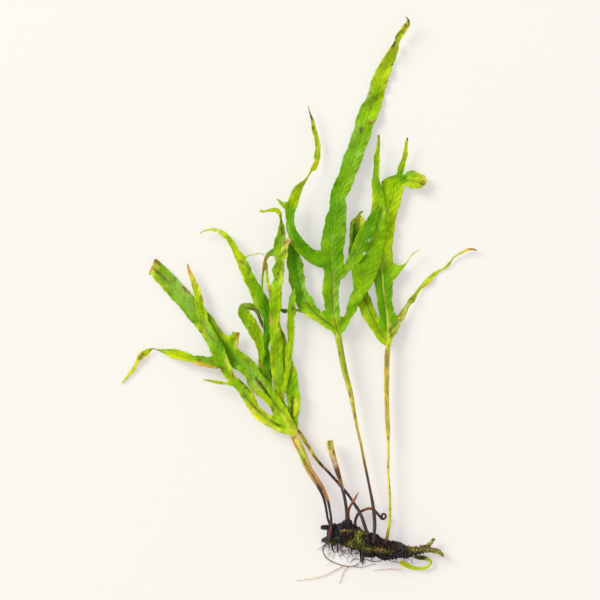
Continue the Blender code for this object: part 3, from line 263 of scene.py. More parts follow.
CENTRE_RIGHT_LOWER = dict(
    base=((340.5, 318), (341.5, 333)),
    spine=(
        (342, 326, 6.5), (347.5, 317, 3.8), (350.7, 309.8, 4.8), (355.3, 299.8, 5.8), (360, 290.6, 7.2),
        (362.2, 281.8, 10.1), (364.4, 271.6, 12.7), (368.3, 262, 12.2), (371.4, 252, 11.6), (374, 242, 11),
        (376.5, 232, 10), (378, 222, 8.5), (379, 212, 7.5), (378.5, 203, 6.8), (377.8, 195, 5.7),
        (376.5, 187, 4.6), (376, 180, 3.9), (376, 173, 3), (376.3, 165, 2.9), (376.7, 157, 2.6),
        (377.7, 150, 2), (378.2, 143, 1.5), (378.4, 135, 0.7),
    ),
    heights=((0, 5.5), (0.2, 5), (0.45, 4.2), (0.7, 3.6), (0.85, 3.9), (1, 5.4)),
    turns=((0, 0), (0.4, 5), (0.7, -12), (1, 20)),
    tints=(
        (0, "bright"), (0.1, "mid"), (0.2, "mid bright mid"), (0.3, "mid mid bright"), (0.4, "deep mid mid"),
        # From 0.53 to 0.7 the bright greens at the left and in the middle are painted light over the shadow
        # that the upper right lobe casts here.
        (0.46, "mid bright mid"), (0.53, "bright fresh mid"), (0.58, "bright fresh mid"),
        (0.62, "acid bright mid"), (0.7, "acid bright mid"), (0.74, "bright mid deep"),
        (0.77, "mid mid sheen"), (0.81, "mid mid sheen"), (0.86, "mid bright acid"), (0.95, "acid"),
        (0.98, "bright"), (1, "olive"),
    ),
)
CENTRE_STROKES = (
    ("petiole", 1.2, 0.3, 338, 336, 336.5, 327, 334.8, 316),
    ("sheen", 1.2, 0.7, 334.8, 316, 333.8, 300, 333.4, 285, 333, 270, 333, 250, 333.2, 236),
    ("sheen", 0.9, 0.4, 333.2, 236, 334.5, 215, 338, 198),
    ("brown", 0.7, 0.65, 331.8, 268, 331.8, 285, 332.2, 300, 332.8, 314),
    ("brown", 0.7, 0.6, 333.5, 318, 336, 326, 337.8, 334),
    ("deep", 2.2, 0.6, 336.8, 262, 336.3, 250, 336.5, 238), ("deep", 2, 0.6, 335.6, 281, 335.8, 270),
    ("deep", 2.2, 0.5, 332, 234, 332.5, 215, 334, 200),
    ("umber", 0.55, 0.8, 333.5, 327.5, 326, 321.5, 320, 317.2, 314, 311.8, 309.5, 306.5),
    ("umber", 0.6, 0.6, 309.5, 306.5, 305, 300, 302, 293),
    ("shade", 1, 0.6, 302, 293, 299, 283, 296, 272, 293.5, 258, 291.5, 246),
    ("sheen", 1.4, 0.55, 299.5, 262, 301, 268, 302.3, 273),
    ("acid", 1.1, 0.3, 333, 331.5, 325, 327, 318, 321.8, 310, 315.5),
    ("sheen", 1.6, 0.6, 344, 246, 343.6, 238, 343, 228), ("sheen", 1, 0.6, 305, 300.3, 309, 300.5),
    ("brown", 0.8, 0.7, 306, 303, 308.5, 304.5), ("wine", 1, 0.9, 292.6, 288.5, 292.4, 292),
    ("brown", 0.8, 0.5, 298, 255.3, 301, 257), ("sheen", 1.6, 0.5, 300, 258, 302, 262),
    ("shade", 2, 0.4, 294, 238, 303, 246, 311, 251), ("sheen", 1.4, 0.5, 287.5, 226, 289.5, 233, 293, 240),
    ("wine", 0.8, 0.7, 312.3, 127, 312.6, 129), ("black", 1.2, 0.6, 283, 311.8, 284.5, 311.7),
    ("mulberry", 1.1, 1, 360.7, 132, 361.3, 129.8, 362, 128.2),
    ("maroon", 0.9, 0.75, 367.5, 124, 370, 122.7, 372.5, 121.5),
    ("orange", 0.9, 0.5, 372.5, 121.5, 375, 120.5), ("brown", 0.9, 0.65, 369.7, 105.5, 370, 109),
    ("brown", 0.9, 0.6, 373, 97, 374, 96.6), ("brown", 0.9, 0.6, 376.6, 96.8, 376.8, 98.5),
    ("brown", 0.8, 0.5, 370.3, 92, 370.6, 93), ("maroon", 0.9, 0.9, 392.6, 64, 393.3, 64.8),
    ("black", 1.2, 0.95, 391.5, 45.6, 393, 46, 394, 42.5),
    ("black", 0.8, 0.85, 394, 42.5, 394.8, 38.5, 397, 34), ("orange", 1.2, 0.5, 389.8, 48, 391, 50),
    ("brown", 0.7, 0.7, 399, 33.5, 402.5, 31, 405.5, 28), ("brown", 1.2, 0.8, 405.5, 25.5, 407.5, 26.5),
    ("mulberry", 1.1, 0.95, 408.8, 24, 408.2, 20.8, 406, 17.8), ("gold", 1, 0.7, 406, 22.5, 407.4, 24),
    ("brown", 0.7, 0.4, 352.6, 154, 353, 155),
    ("sheen", 1.1, 0.5, 347, 268, 352, 259.5, 358, 249.5, 363, 240, 366, 235),
    # The near-white strokes on the next line are small painted highlights.
    ("painted_glint", 0.8, 0.5, 363.5, 253.3, 366.5, 253.3), ("painted_glint", 0.7, 0.4, 369, 240.4, 371.5, 238.5),
    ("sheen", 1.2, 0.7, 375.3, 230, 377.5, 224.5), ("sheen", 1.2, 0.6, 380, 219, 384, 212.5),
    # Painted shadow: the deep green stroke on the next line darkens the edge where this lobe lies over the
    # right frond.
    ("deep", 1.8, 0.8, 380, 187, 382.3, 191.5, 382.3, 196),
    ("bright", 1.4, 0.4, 374.3, 187, 375.3, 196, 377, 203), ("brown", 0.8, 0.6, 378.5, 144, 378.6, 145),
    ("brown", 0.7, 0.6, 378.4, 135, 378.6, 137.5),
)
CENTRE_STEM = dict(
    line=(
        (338.3, 337.5, 6.8), (339.5, 344, 6.6), (341.5, 355, 6.2), (344.5, 370, 5.8), (347.5, 382, 5.4),
        (350.7, 394, 4.8), (355.6, 421, 3.2), (358, 432, 2.8), (360.5, 442, 2.7), (364, 460, 2.7),
        (366, 470, 2.7), (370, 490, 2.8), (372, 500, 3.3), (373.6, 511, 3.6), (374.5, 525, 3.7),
        (373.5, 537, 3.6), (373, 541, 4.6),
    ),
    heights=((0, 5.4), (0.4, 4.8), (0.7, 4.9), (0.9, 6.2), (0.97, 6.9), (1, 6.3)),
    tints=(
        (0, "lime"), (0.16, "lime"), (0.28, "petiole"), (0.36, "gold"), (0.57, "gold"), (0.61, "brown"),
        (0.68, "umber"), (0.78, "umber"), (0.85, "dusk"), (1, "dusk"),
    ),
    strokes=(
        ("olive", 0.6, 0.5, 338.7, 340, 341.3, 354, 344, 368, 348, 383),
        ("olive", 0.6, 0.4, 342, 345, 344.6, 358, 347.4, 371),
        ("umber", 0.9, 0.75, 349.4, 393, 350.4, 396.5), ("umber", 0.9, 0.65, 352.5, 403, 354, 412, 355, 418),
        ("umber", 0.7, 0.6, 356, 425, 359.5, 441, 363, 458),
        ("gold", 0.8, 0.6, 354.5, 402, 357, 416, 359, 428),
        ("gold", 0.6, 0.6, 362.5, 446, 365.5, 460, 367.5, 470),
    ),
)

# Right frond
RIGHT_MAIN = dict(
    spine=(
        (388, 347, 2), (388, 340, 4), (388, 330, 5.5), (387.5, 322, 6.5), (387, 314, 7.8), (385.2, 305, 7.8),
        (384.1, 297, 7.9), (383.9, 290, 8.3), (383.7, 282, 9.3), (383, 272, 10), (382.8, 262, 10),
        (383, 252, 9.5), (384, 242, 9), (385, 232, 9), (386.5, 222, 9), (388.5, 213, 9), (390.5, 204, 9.3),
        (392.3, 195, 9.6), (393, 187, 11.2), (393.8, 181, 11.8), (396.2, 177.3, 8.6), (399.2, 174.5, 3.7),
        (400.8, 169, 3.2), (403, 163, 2.9), (404.7, 157.5, 2.6), (405.5, 150, 1.9), (406, 144, 1.3),
        (407.3, 138, 0.6),
    ),
    heights=((0, 4.2), (0.25, 3.2), (0.5, 2.4), (0.7, 2), (0.82, 2.6), (1, 4.8)),
    turns=((0, 0), (0.5, 6), (0.75, -8), (1, 25)),
    level=True,
    tints=(
        (0, "acid"), (0.06, "mid bright mid"), (0.12, "deep deep mid"), (0.22, "mid deep mid"),
        (0.32, "mid deep mid"), (0.38, "mid mid bright"), (0.42, "lime lime bright"),
        (0.55, "yellow acid acid"), (0.63, "yellow bright acid"), (0.68, "lime bright acid"),
        (0.74, "lime bright acid"), (0.785, "acid bright mid"), (0.81, "deep mid deep"), (0.84, "mid"),
        (0.88, "bright bright acid"), (0.93, "lime yellow lime"), (0.96, "yellow"), (0.985, "yellow"),
        (1, "brown"),
    ),
    ripples=0.8,
)
RIGHT_END = dict(
    base=((403.6, 174.5), (404.2, 186.2)),
    spine=(
        (404.3, 180.3, 6), (407.5, 179.5, 7.7), (412, 179.5, 8.9), (418, 180.6, 8), (423, 180.8, 5.8),
        (425.3, 181.5, 3.2), (426.6, 182.2, 1.2),
    ),
    heights=((0, 2.6), (0.5, 3.5), (1, 3)),
    tints=(
        (0, "mid"), (0.1, "sheen bright bright"), (0.25, "sheen bright acid"), (0.5, "lime acid acid"),
        (0.75, "straw lime lime"), (1, "yellow"),
    ),
    ripples=0.8,
)
RIGHT_LEFT_LOWER = dict(
    base=((380.3, 319.5), (385.6, 345.5)),
    spine=(
        (382.5, 334.5, 8), (374.8, 324.3, 6.2), (370.9, 316.9, 6.7), (366.6, 307.2, 7.1), (362.3, 297.4, 7),
        (359.2, 286, 5.4), (356.5, 272, 5.1), (354.3, 260, 5.4), (354, 248, 5), (355, 238, 5.5),
        (356.4, 228, 6.2), (358.5, 221, 6.3), (359.3, 217.6, 4.2), (358.8, 214.8, 1.6), (360.3, 212.7, 1.2),
        (363, 211.2, 0.8),
    ),
    heights=((0, 4), (0.2, 3), (0.5, 2), (0.8, 2.4), (1, 3.4)),
    turns=((0, 0), (0.5, 10), (1, 0)),
    tints=(
        (0, "acid"), (0.15, "acid bright bright"), (0.3, "acid bright mid"), (0.5, "bright mid mid"),
        # The darkest green in the middle from 0.78 to 0.88 is painted shade inside the rolled tip.
        (0.65, "bright mid mid"), (0.78, "bright shade mid"), (0.88, "bright shade yellow"),
        (0.925, "mid olive yellow"), (0.955, "mid"), (1, "deep"),
    ),
)
RIGHT_RIGHT_LOWER = dict(
    base=((394.7, 314.5), (392, 338)),
    spine=(
        (393, 327, 5.5), (397, 321, 4.5), (401.5, 316, 3.2), (405, 310.5, 2.8), (408.5, 304, 2),
        (412, 299.5, 3), (416, 294, 1.6), (419.5, 289.3, 1.5), (423.5, 285.5, 2.2), (427.5, 281.5, 2.8),
        (431, 277.3, 2.6), (435, 273.5, 1.7), (439, 271, 1.1), (443.5, 268.8, 0.8), (447.5, 266, 1.4),
        (450.5, 262.2, 1.1), (453.5, 257.5, 0.9), (458, 254.3, 0.9), (463, 251.8, 1.1), (467.5, 249.8, 1.2),
        (472, 249.2, 1), (477, 250.3, 0.5),
    ),
    heights=((0, 3.8), (0.2, 2.6), (0.45, 0.9), (0.6, 0.5), (0.8, 1.4), (1, 2.2)),
    turns=((0, 0), (0.3, 40), (0.5, -20), (0.62, 30), (1, 0)),
    tints=(
        (0, "shade deep lime"), (0.1, "olive lime straw"), (0.2, "acid straw acid"),
        (0.3, "lime lime straw"), (0.42, "acid lime lime"), (0.47, "lime lime orange"),
        (0.55, "lime lime yellow"), (0.65, "yellow"), (0.75, "straw"), (0.84, "straw"), (0.9, "gold"),
        (0.935, "orange"), (0.96, "rust"), (1, "rust"),
    ),
    ripples=0.6,
)
RIGHT_TOOTH = dict(
    base=((393, 263), (393, 280)),
    spine=(
        (394, 270.5, 6), (399, 268.5, 3.4), (402.5, 266.5, 1.8), (405.5, 264, 0.8), (408, 260.5, 0.5),
        (410.5, 256.5, 0.5), (414, 252.7, 0.6), (420, 249.5, 0.4),
    ),
    heights=((0, 2.8), (0.5, 3.2), (1, 3.8)),
    tints=((0, "mid"), (0.3, "bright"), (0.5, "lime"), (0.6, "straw"), (1, "straw")),
    ripples=0.3,
)
RIGHT_STROKES = (
    ("gold", 0.9, 0.7, 387.6, 348, 388.7, 335, 387.8, 322, 386.6, 310),
    ("gold", 0.6, 0.5, 386.6, 310, 384.9, 300, 383, 285, 382, 270, 381.6, 262),
    ("shade", 0.8, 0.7, 386, 330, 385.4, 315, 383.8, 302, 381.6, 288, 380.4, 272),
    ("brown", 0.8, 0.55, 366, 300, 370, 311, 375, 323, 381, 333.5, 385.5, 340),
    ("brown", 1.2, 0.6, 363, 296.5, 366.5, 303), ("umber", 0.9, 0.7, 390, 331, 393.5, 326, 397, 320),
    ("brown", 1.4, 0.8, 390, 329, 391.5, 334), ("olive", 0.9, 0.6, 383, 345, 386, 350),
    ("deep", 1.2, 0.9, 381.8, 181.5, 383.5, 178.6, 388, 177, 395, 175.4),
    ("sheen", 0.7, 0.6, 385, 177.4, 389, 176.5, 393.5, 175.5),
    ("deep", 2.4, 0.6, 400, 174, 401.5, 179, 402.5, 183),
    # Painted light: the bright green stroke on the next line lifts the shadow that the centre frond's lobe
    # casts on this blade.
    ("painted_light", 2.2, 0.85, 385.5, 250, 386.5, 236, 387, 222, 388, 208, 386, 194),
    ("gold", 0.9, 0.6, 385.5, 207.5, 387.5, 210), ("orange", 0.9, 0.4, 386.5, 209, 387, 212),
    ("yellow", 1.4, 0.6, 403.5, 185.5, 401, 192, 399.5, 197),
    ("mid", 1.5, 0.6, 386.5, 182, 384.5, 190, 385, 200, 384, 206),
    ("olive", 0.7, 0.6, 407, 180.5, 413, 181.3, 419, 183),
    ("umber", 0.9, 0.9, 420, 183.2, 423, 184.4, 425, 184.8), ("brown", 0.8, 0.8, 423.7, 181.3, 424.6, 184),
    ("rust", 0.8, 0.5, 421.5, 182, 422.5, 185), ("mulberry", 0.8, 0.9, 407.2, 138, 407.5, 139.5),
    # The black and darkest green strokes on the next two lines are painted shade inside the rolled lobe's
    # curl.
    ("black", 1.5, 0.85, 354.4, 224, 354.2, 232, 354.6, 240),
    ("shade", 1.8, 0.7, 357.5, 222, 357.5, 232, 356.5, 240), ("black", 0.9, 0.8, 352.4, 246, 354, 241),
    ("bright", 1, 0.8, 351.2, 250, 350.8, 236, 351.5, 226, 354, 218.5),
    ("brown", 1.1, 0.85, 356.5, 220.2, 359, 219.8),
    ("yellow", 1.3, 0.9, 361.5, 222.5, 363.5, 219.5, 361, 217.5), ("acid", 1.4, 0.7, 362.5, 224, 361.5, 232),
    ("black", 0.8, 0.8, 360.5, 216.5, 362, 215), ("rust", 0.8, 0.7, 401, 314, 401.2, 320),
    ("straw", 1.1, 0.7, 392.5, 332, 397.5, 325.5, 401.5, 318.5, 406, 311, 409, 304.5),
    ("olive", 0.9, 0.5, 411, 298.5, 414, 300), ("orange", 0.8, 0.6, 421, 289.3, 424.5, 286.6, 428.2, 284.4),
    ("rust", 0.9, 0.7, 470, 249.3, 474, 249, 476.5, 250.6), ("gold", 0.8, 0.6, 463, 252, 468, 250.4),
)
RIGHT_STEM = dict(
    line=(
        (387.6, 348.6, 5), (386.9, 358, 5.3), (386.6, 370, 5.3), (386.5, 385, 5.2), (386.7, 405, 4.8),
        (387.9, 430, 4.3), (388, 440, 3.1), (388.2, 455, 2.6), (388, 470, 2.5), (389.5, 495, 2.6),
        (389.8, 510, 2.7), (389.6, 520, 2.7), (388.5, 528, 3), (386.5, 539, 3.4), (385, 544, 3.4),
    ),
    heights=((0, 4.2), (0.4, 4), (0.8, 4.4), (1, 4.4)),
    tints=(
        (0, "yellow"), (0.04, "petiole"), (0.07, "mustard"), (0.12, "petiole"), (0.3, "gold"), (0.7, "gold"),
        (0.8, "yellow"), (0.89, "yellow"), (0.94, "mustard"), (0.98, "olive"), (1, "umber"),
    ),
    strokes=(
        ("brown", 1, 0.8, 386.6, 350, 386.6, 359), ("umber", 0.7, 0.8, 386.6, 359, 386.7, 369),
        ("orange", 1.2, 0.85, 385.3, 370.5, 385.5, 374.5), ("moss", 0.8, 0.6, 386.8, 376, 386.8, 391),
        ("umber", 0.8, 0.8, 386.2, 391.5, 387.2, 394.6, 388, 393.4),
        ("moss", 0.8, 0.8, 385.8, 397, 386.3, 412, 386.9, 430),
        ("gold", 1.1, 0.6, 388.8, 352, 388.6, 380, 388.3, 405, 389, 430),
        ("brown", 0.6, 0.8, 388.1, 437.5, 388.3, 438.6), ("brown", 0.6, 0.8, 387.6, 466.6, 388.9, 467.2),
        ("brown", 0.5, 0.6, 389.5, 479, 389.6, 480), ("brown", 0.5, 0.7, 389.3, 486, 389.5, 487),
        ("brown", 0.6, 0.7, 389.4, 492.4, 389.6, 493.6), ("brown", 0.5, 0.6, 390.3, 508, 390.4, 509),
        ("brown", 0.6, 0.6, 389.6, 515, 389.8, 516.4),
    ),
)

# Left frond
LEFT_MAIN = dict(
    spine=(
        (295, 435.4, 3.4), (292.4, 431.3, 5), (286.5, 421.5, 6.5), (280.2, 411.8, 7.1), (274.5, 401.4, 6.6),
        (267.7, 393.8, 7.9), (261.7, 387.4, 8.8), (256.3, 380.9, 8.7), (252.8, 374.2, 8.2),
        (247.5, 367.5, 8.5), (241.5, 362.5, 8.9), (235, 357.5, 8.8), (228, 350, 9.3), (220.5, 343, 9.5),
        (213.5, 335, 9.3), (207, 326.5, 9.8), (201, 318.5, 9.3), (193.8, 310.5, 9.2), (187.3, 303.1, 8.8),
        (180.7, 295.7, 8.7), (173.9, 288, 8.8), (167.7, 281.7, 8.7), (161.8, 275.2, 8.2), (157, 269.4, 7.7),
        (153.9, 267, 8), (151.4, 266.2, 8.3),
    ),
    heights=((0, 5.4), (0.2, 5), (0.4, 3.9), (0.6, 2.4), (0.8, 1), (1, 0.7)),
    turns=((0, 0), (0.3, 8), (0.6, -6), (1, 0)),
    tints=(
        (0, "petiole"), (0.05, "bright acid lime"), (0.12, "bright bright acid"), (0.22, "acid bright mid"),
        (0.3, "bright sheen mid"), (0.4, "mid mid bright"), (0.48, "deep mid bright"),
        (0.56, "deep mid acid"), (0.66, "bright mid mid"), (0.73, "mid sheen sheen"),
        (0.82, "mid sheen sheen"), (0.9, "acid sheen sheen"), (0.96, "acid mid mid"), (1, "lime gold moss"),
    ),
)
LEFT_TOOTH = dict(
    base=((237, 345), (228.5, 336)),
    spine=((232.5, 340.3, 5.6), (235.2, 337, 4), (235.7, 334.5, 3.8), (235.8, 332, 3.9)),
    heights=((0, 3.2), (1, 3.4)),
    tints=((0, "mid"), (0.5, "mid mid acid"), (0.8, "sheen bright rust"), (1, "sheen lime rust")),
    ripples=0.3,
)
LEFT_RIBBON = dict(
    base=((273.3, 415.5), (288, 433)),
    spine=(
        (281.2, 424.2, 7.6), (276.4, 423.6, 6), (270.5, 421.4, 5.4), (265.2, 418.6, 5.3),
        (259.9, 414.1, 5.4), (255, 408.7, 5.2), (251, 402.5, 5.4), (248.3, 396.6, 6.1), (244.2, 390.3, 5.4),
        (238.6, 384.4, 4.9), (232.8, 379.3, 4.3), (229, 375, 4.6), (227.2, 369.9, 5.4), (224, 363.5, 6.2),
        (220.3, 356.7, 7), (217.3, 349.5, 7), (212.9, 340.7, 6.2), (207.8, 330.5, 6), (203.9, 322.7, 4.6),
        (202.5, 315.3, 4.8), (201, 309, 4.5), (199, 301.2, 4.2), (197.5, 294.7, 3.9), (196.2, 288.2, 3.4),
        (193.9, 281.2, 2.9), (191.4, 275.7, 2.3), (188.9, 270.2, 1.5), (187.2, 263.7, 0.6),
    ),
    heights=((0, 5.2), (0.1, 5), (0.3, 5.6), (0.55, 5.4), (0.75, 4.2), (0.9, 3.2), (1, 3.6)),
    turns=((0, 0), (0.2, 15), (0.5, -10), (0.8, 12), (1, 0)),
    tints=(
        (0, "lime"), (0.1, "yellow lime lime"), (0.17, "yellow acid acid"), (0.24, "lime bright acid"),
        (0.32, "mid bright mid"), (0.39, "acid mid lime"), (0.45, "deep mid lime"),
        (0.52, "bright mid deep"), (0.6, "bright sheen deep"), (0.66, "acid sheen bright"),
        (0.74, "bright bright lime"), (0.8, "acid bright acid"), (0.86, "acid acid gold"),
        (0.9, "yellow gold gold"), (0.94, "gold"), (0.955, "orange"), (0.985, "orange"), (1, "pink"),
    ),
)
LEFT_SIDE = dict(
    base=((212.5, 356.5), (219.5, 368.5)),
    spine=(
        (216, 363.5, 6.5), (207, 362, 5.2), (200, 360.5, 4.8), (192, 358.3, 3.8), (184, 356.3, 4.6),
        (176, 354.3, 4.6), (169.5, 352.3, 3.8), (164, 351, 2.2), (159.5, 350.2, 1), (156, 349.5, 0.7),
        (152.8, 348.8, 0.5), (150, 350, 1.3), (146, 352.7, 2.9), (141.5, 355.3, 3.3), (138, 359.3, 2.2),
        (136, 364, 1.7), (133.2, 369.3, 1.8), (129.5, 373.5, 1.4), (126, 378, 1), (121.5, 383.5, 0.5),
    ),
    heights=((0, 5.2), (0.2, 4.2), (0.5, 2.2), (0.65, 1.6), (0.85, 0.8), (1, 0.5)),
    turns=((0, 0), (0.3, 15), (0.6, -30), (0.75, 10), (1, 0)),
    tints=(
        (0, "mid"), (0.08, "orange mid deep"), (0.16, "gold mid deep"), (0.22, "acid bright mid"),
        (0.3, "yellow acid acid"), (0.4, "yellow acid acid"), (0.46, "acid lime sheen"), (0.52, "sheen"),
        (0.57, "straw"), (0.6, "acid"), (0.65, "yellow"), (0.7, "gold yellow straw"),
        (0.76, "orange yellow lime"), (0.85, "yellow"), (0.95, "yellow"), (1, "straw"),
    ),
    ripples=0.8,
)
LEFT_SPIKE = dict(
    base=((233.5, 385.8), (228.5, 380)),
    spine=(
        (231, 382.8, 2.2), (227, 383.4, 1.1), (221.5, 382.6, 1.6), (215.5, 381.6, 1.7), (210, 380.6, 1.2),
        (203.5, 379.7, 0.5),
    ),
    heights=((0, 5.5), (1, 4.4)),
    tints=((0, "mid"), (0.2, "acid"), (0.7, "acid acid orange"), (0.85, "sheen"), (1, "sheen")),
    ripples=0.3,
)
LEFT_STROKES = (
    ("bark", 0.9, 0.8, 262, 385.5, 264.5, 389.5, 266, 392),
    ("tan", 0.8, 0.5, 254.5, 381, 258.5, 386, 261, 390),
    ("petiole", 1.3, 0.7, 297, 439, 291.5, 430, 285, 419, 280, 411),
    ("olive", 0.7, 0.6, 297.5, 433, 293, 425, 287, 416.5, 281, 408.5),
    ("black", 0.7, 1, 256.5, 378.5, 259.5, 382.5, 262.5, 386, 266, 391, 270, 397),
    ("umber", 0.7, 0.7, 270, 397, 275, 404, 280.5, 411),
    ("mulberry", 1.1, 0.5, 256, 380.5, 259, 385, 262, 388),
    ("bright", 1.2, 0.5, 272, 393, 278, 403, 285, 414, 291, 424),
    ("acid", 1.4, 0.5, 252, 393.5, 255.5, 396.5, 261, 398), ("brown", 0.9, 0.8, 252.5, 391, 255.5, 394.5),
    ("olive", 1.1, 0.5, 250.5, 386.5, 253, 388.5), ("brown", 1.1, 0.75, 271.8, 407.8, 272.6, 410),
    ("olive", 1.2, 0.7, 252, 356, 247, 363, 244, 358),
    ("shade", 1.3, 0.75, 232, 358, 234.5, 360, 237.5, 363),
    ("shade", 2.2, 0.5, 224, 345, 229, 350, 235, 357), ("sheen", 1, 0.5, 238, 358.5, 244, 364, 250, 371),
    ("umber", 0.9, 0.9, 152, 267, 159, 273.8, 165, 279.5), ("olive", 0.9, 0.6, 165, 279.5, 169, 283),
    ("olive", 1.6, 0.6, 168.5, 279.8, 174, 281), ("brown", 0.8, 0.7, 155, 260.5, 158.5, 264),
    ("moss", 1.5, 0.6, 153, 260, 157, 262.5), ("sheen", 1.2, 0.5, 151.5, 267, 155.5, 266),
    ("brown", 0.8, 0.7, 149, 270.8, 153.5, 268.8), ("orange", 1.1, 0.8, 149, 270, 152.5, 268.5),
    ("deep", 1.5, 0.5, 160, 279, 162.5, 282.5),
    ("maroon", 1.2, 0.85, 183, 286.3, 186.5, 288.8, 189, 291.5, 191.5, 294),
    ("skin", 1, 0.5, 182, 290, 185, 292), ("umber", 1.1, 0.9, 187, 315.6, 187.6, 316.6),
    ("umber", 0.9, 0.8, 201, 330.5, 203.5, 333), ("yellow", 1.4, 0.6, 197.5, 327, 201, 332.5, 204.5, 336),
    ("brown", 0.7, 0.5, 214.5, 312, 212, 309.5), ("olive", 0.9, 0.6, 213.5, 318.5, 217, 326, 220, 331),
    ("rust", 1.3, 0.95, 239, 332.2, 238.6, 336.5), ("brown", 0.8, 0.6, 227, 335.3, 230, 334.6),
    ("orange", 0.9, 0.7, 237.3, 338, 236.6, 343, 237.2, 348), ("deep", 1, 0.6, 232.5, 339, 232.8, 347),
    ("umber", 1.2, 0.8, 245.8, 385.5, 246.6, 387.5), ("black", 0.7, 0.7, 246.6, 387.5, 250, 392),
    ("black", 0.95, 0.9, 241, 381.5, 243, 383.5),
    ("umber", 0.85, 0.85, 243.5, 393, 247, 398.5, 251.5, 403.5, 256, 408.5, 261.5, 413),
    ("sheen", 1.2, 0.6, 241.5, 390, 244.5, 396, 249, 402),
    ("black", 0.85, 0.8, 270.5, 420, 274.5, 422.7, 279.5, 425.2),
    ("olive", 1, 0.6, 261.5, 413, 266, 417, 270.5, 420),
    ("yellow", 1.3, 0.5, 249, 408.5, 254, 414.5, 260, 420.5, 268, 426, 278, 430),
    ("straw", 0.8, 0.8, 252.5, 409.5, 255, 412.5), ("straw", 1, 0.3, 262, 421, 270, 426, 283, 430.5),
    ("orange", 0.7, 0.5, 231.8, 372, 233.2, 376, 232.5, 378), ("maroon", 0.8, 0.8, 232.6, 374, 233, 376),
    ("straw", 1.3, 0.3, 226.5, 359.5, 228.5, 364, 230, 368.5),
    ("brown", 0.9, 0.75, 216.5, 366.8, 221, 368, 224, 368.6), ("brown", 1, 0.85, 209.5, 361.3, 212.3, 361),
    ("brown", 1, 0.85, 198.5, 359.3, 200.2, 359.8),
    ("orange", 0.9, 0.7, 194, 362, 200, 364.5, 207, 366.5, 216, 367.5),
    ("brown", 0.7, 0.5, 198, 320, 202, 322.5), ("olive", 0.9, 0.5, 203, 321, 206, 330, 211, 338),
    ("brown", 0.8, 0.5, 211, 336.5, 214.5, 341), ("rust", 0.8, 0.6, 201, 296, 202, 301.5),
    ("brown", 0.8, 0.5, 195.5, 302.5, 197.5, 304), ("umber", 1, 0.9, 139.5, 357.4, 141.5, 356, 143.5, 354),
    ("brown", 0.9, 0.6, 138.8, 358.5, 141, 358.5), ("dusk", 0.7, 0.8, 152.3, 348.7, 153, 348.8),
    ("olive", 0.8, 0.7, 150, 349.6, 153, 349.4), ("brown", 0.7, 0.6, 168.5, 349.2, 169.5, 349.4),
)
LEFT_STEM = dict(
    line=(
        (297.4, 440, 5.8), (300, 445, 5.4), (303.8, 453, 5), (307, 461, 4.8), (310.6, 469, 4.4),
        (315.3, 476, 4.1), (320, 483, 3.8), (323.9, 490, 3.5), (326.7, 497, 3.2), (328.7, 504, 2.8),
        (330, 511, 2.6), (331, 518, 2.8), (331, 525, 3), (330.4, 532, 3), (329.8, 535, 3.4), (329.2, 539, 3),
    ),
    heights=((0, 5.4), (0.5, 5.8), (0.85, 6.6), (0.93, 7), (1, 5.6)),
    tints=(
        (0, "straw"), (0.08, "gold"), (0.22, "petiole"), (0.32, "gold"), (0.42, "tan"), (0.52, "umber"),
        (0.6, "wine"), (0.85, "wine"), (0.9, "maroon"), (1, "wine"),
    ),
    strokes=(
        ("olive", 0.9, 0.7, 293.5, 431, 294.6, 437), ("rust", 0.9, 0.75, 300, 445.6, 302.6, 450),
        ("lime", 1.2, 0.6, 299.4, 449, 303, 458), ("straw", 1.2, 0.6, 298.5, 444, 302, 450, 305, 455),
        ("umber", 0.9, 0.85, 304, 459, 307.6, 466, 311.8, 473.5, 316.6, 480.5, 321.5, 489),
        ("orange", 1.2, 0.9, 308.8, 461, 312.6, 469, 317.6, 476.5, 322, 483.5, 325.6, 490.5, 328, 498),
        ("tan", 0.6, 0.7, 309.6, 462, 313.6, 469.5, 318.6, 477),
    ),
)

# Inner left frond
INNER_LEFT_MAIN = dict(
    spine=(
        (290, 428, 3.5), (285, 416, 5), (279, 404, 4.6), (271.6, 392, 3.3), (268.2, 382, 3.4),
        (267.4, 370, 4.5), (267, 358, 4), (265.9, 348, 2.4), (266.8, 338, 3.4), (267.2, 326, 3.8),
        (266.4, 317, 4.4), (264.6, 309, 5.9), (261.5, 302, 7.6), (258.3, 296.3, 7), (254.6, 288.3, 5.8),
        (250.5, 280, 5.6), (245.7, 270.5, 5.6), (241.8, 262, 4.8), (238.2, 254.3, 3.9), (234, 246.7, 3.1),
        (229.7, 240.5, 2.8), (225, 235.3, 2.6), (220, 231.7, 2.2), (215, 229.7, 1.6), (209.5, 229.7, 1.1),
        (204, 231, 0.8), (199.8, 233.8, 0.5),
    ),
    heights=((0, 2), (0.2, 2), (0.4, 3.2), (0.55, 4.4), (0.75, 4.6), (1, 3.2)),
    turns=((0, 0), (0.3, 20), (0.5, 0), (0.8, 15), (1, 0)),
    tints=(
        (0, "bright"), (0.2, "mid"), (0.35, "deep"), (0.45, "deep"), (0.53, "bright deep deep"),
        (0.61, "acid mid mid"), (0.66, "acid mid mid"), (0.72, "lime bright sheen"),
        (0.76, "acid acid bright"), (0.8, "acid"), (0.88, "lime"), (0.95, "straw"), (1, "tan"),
    ),
)
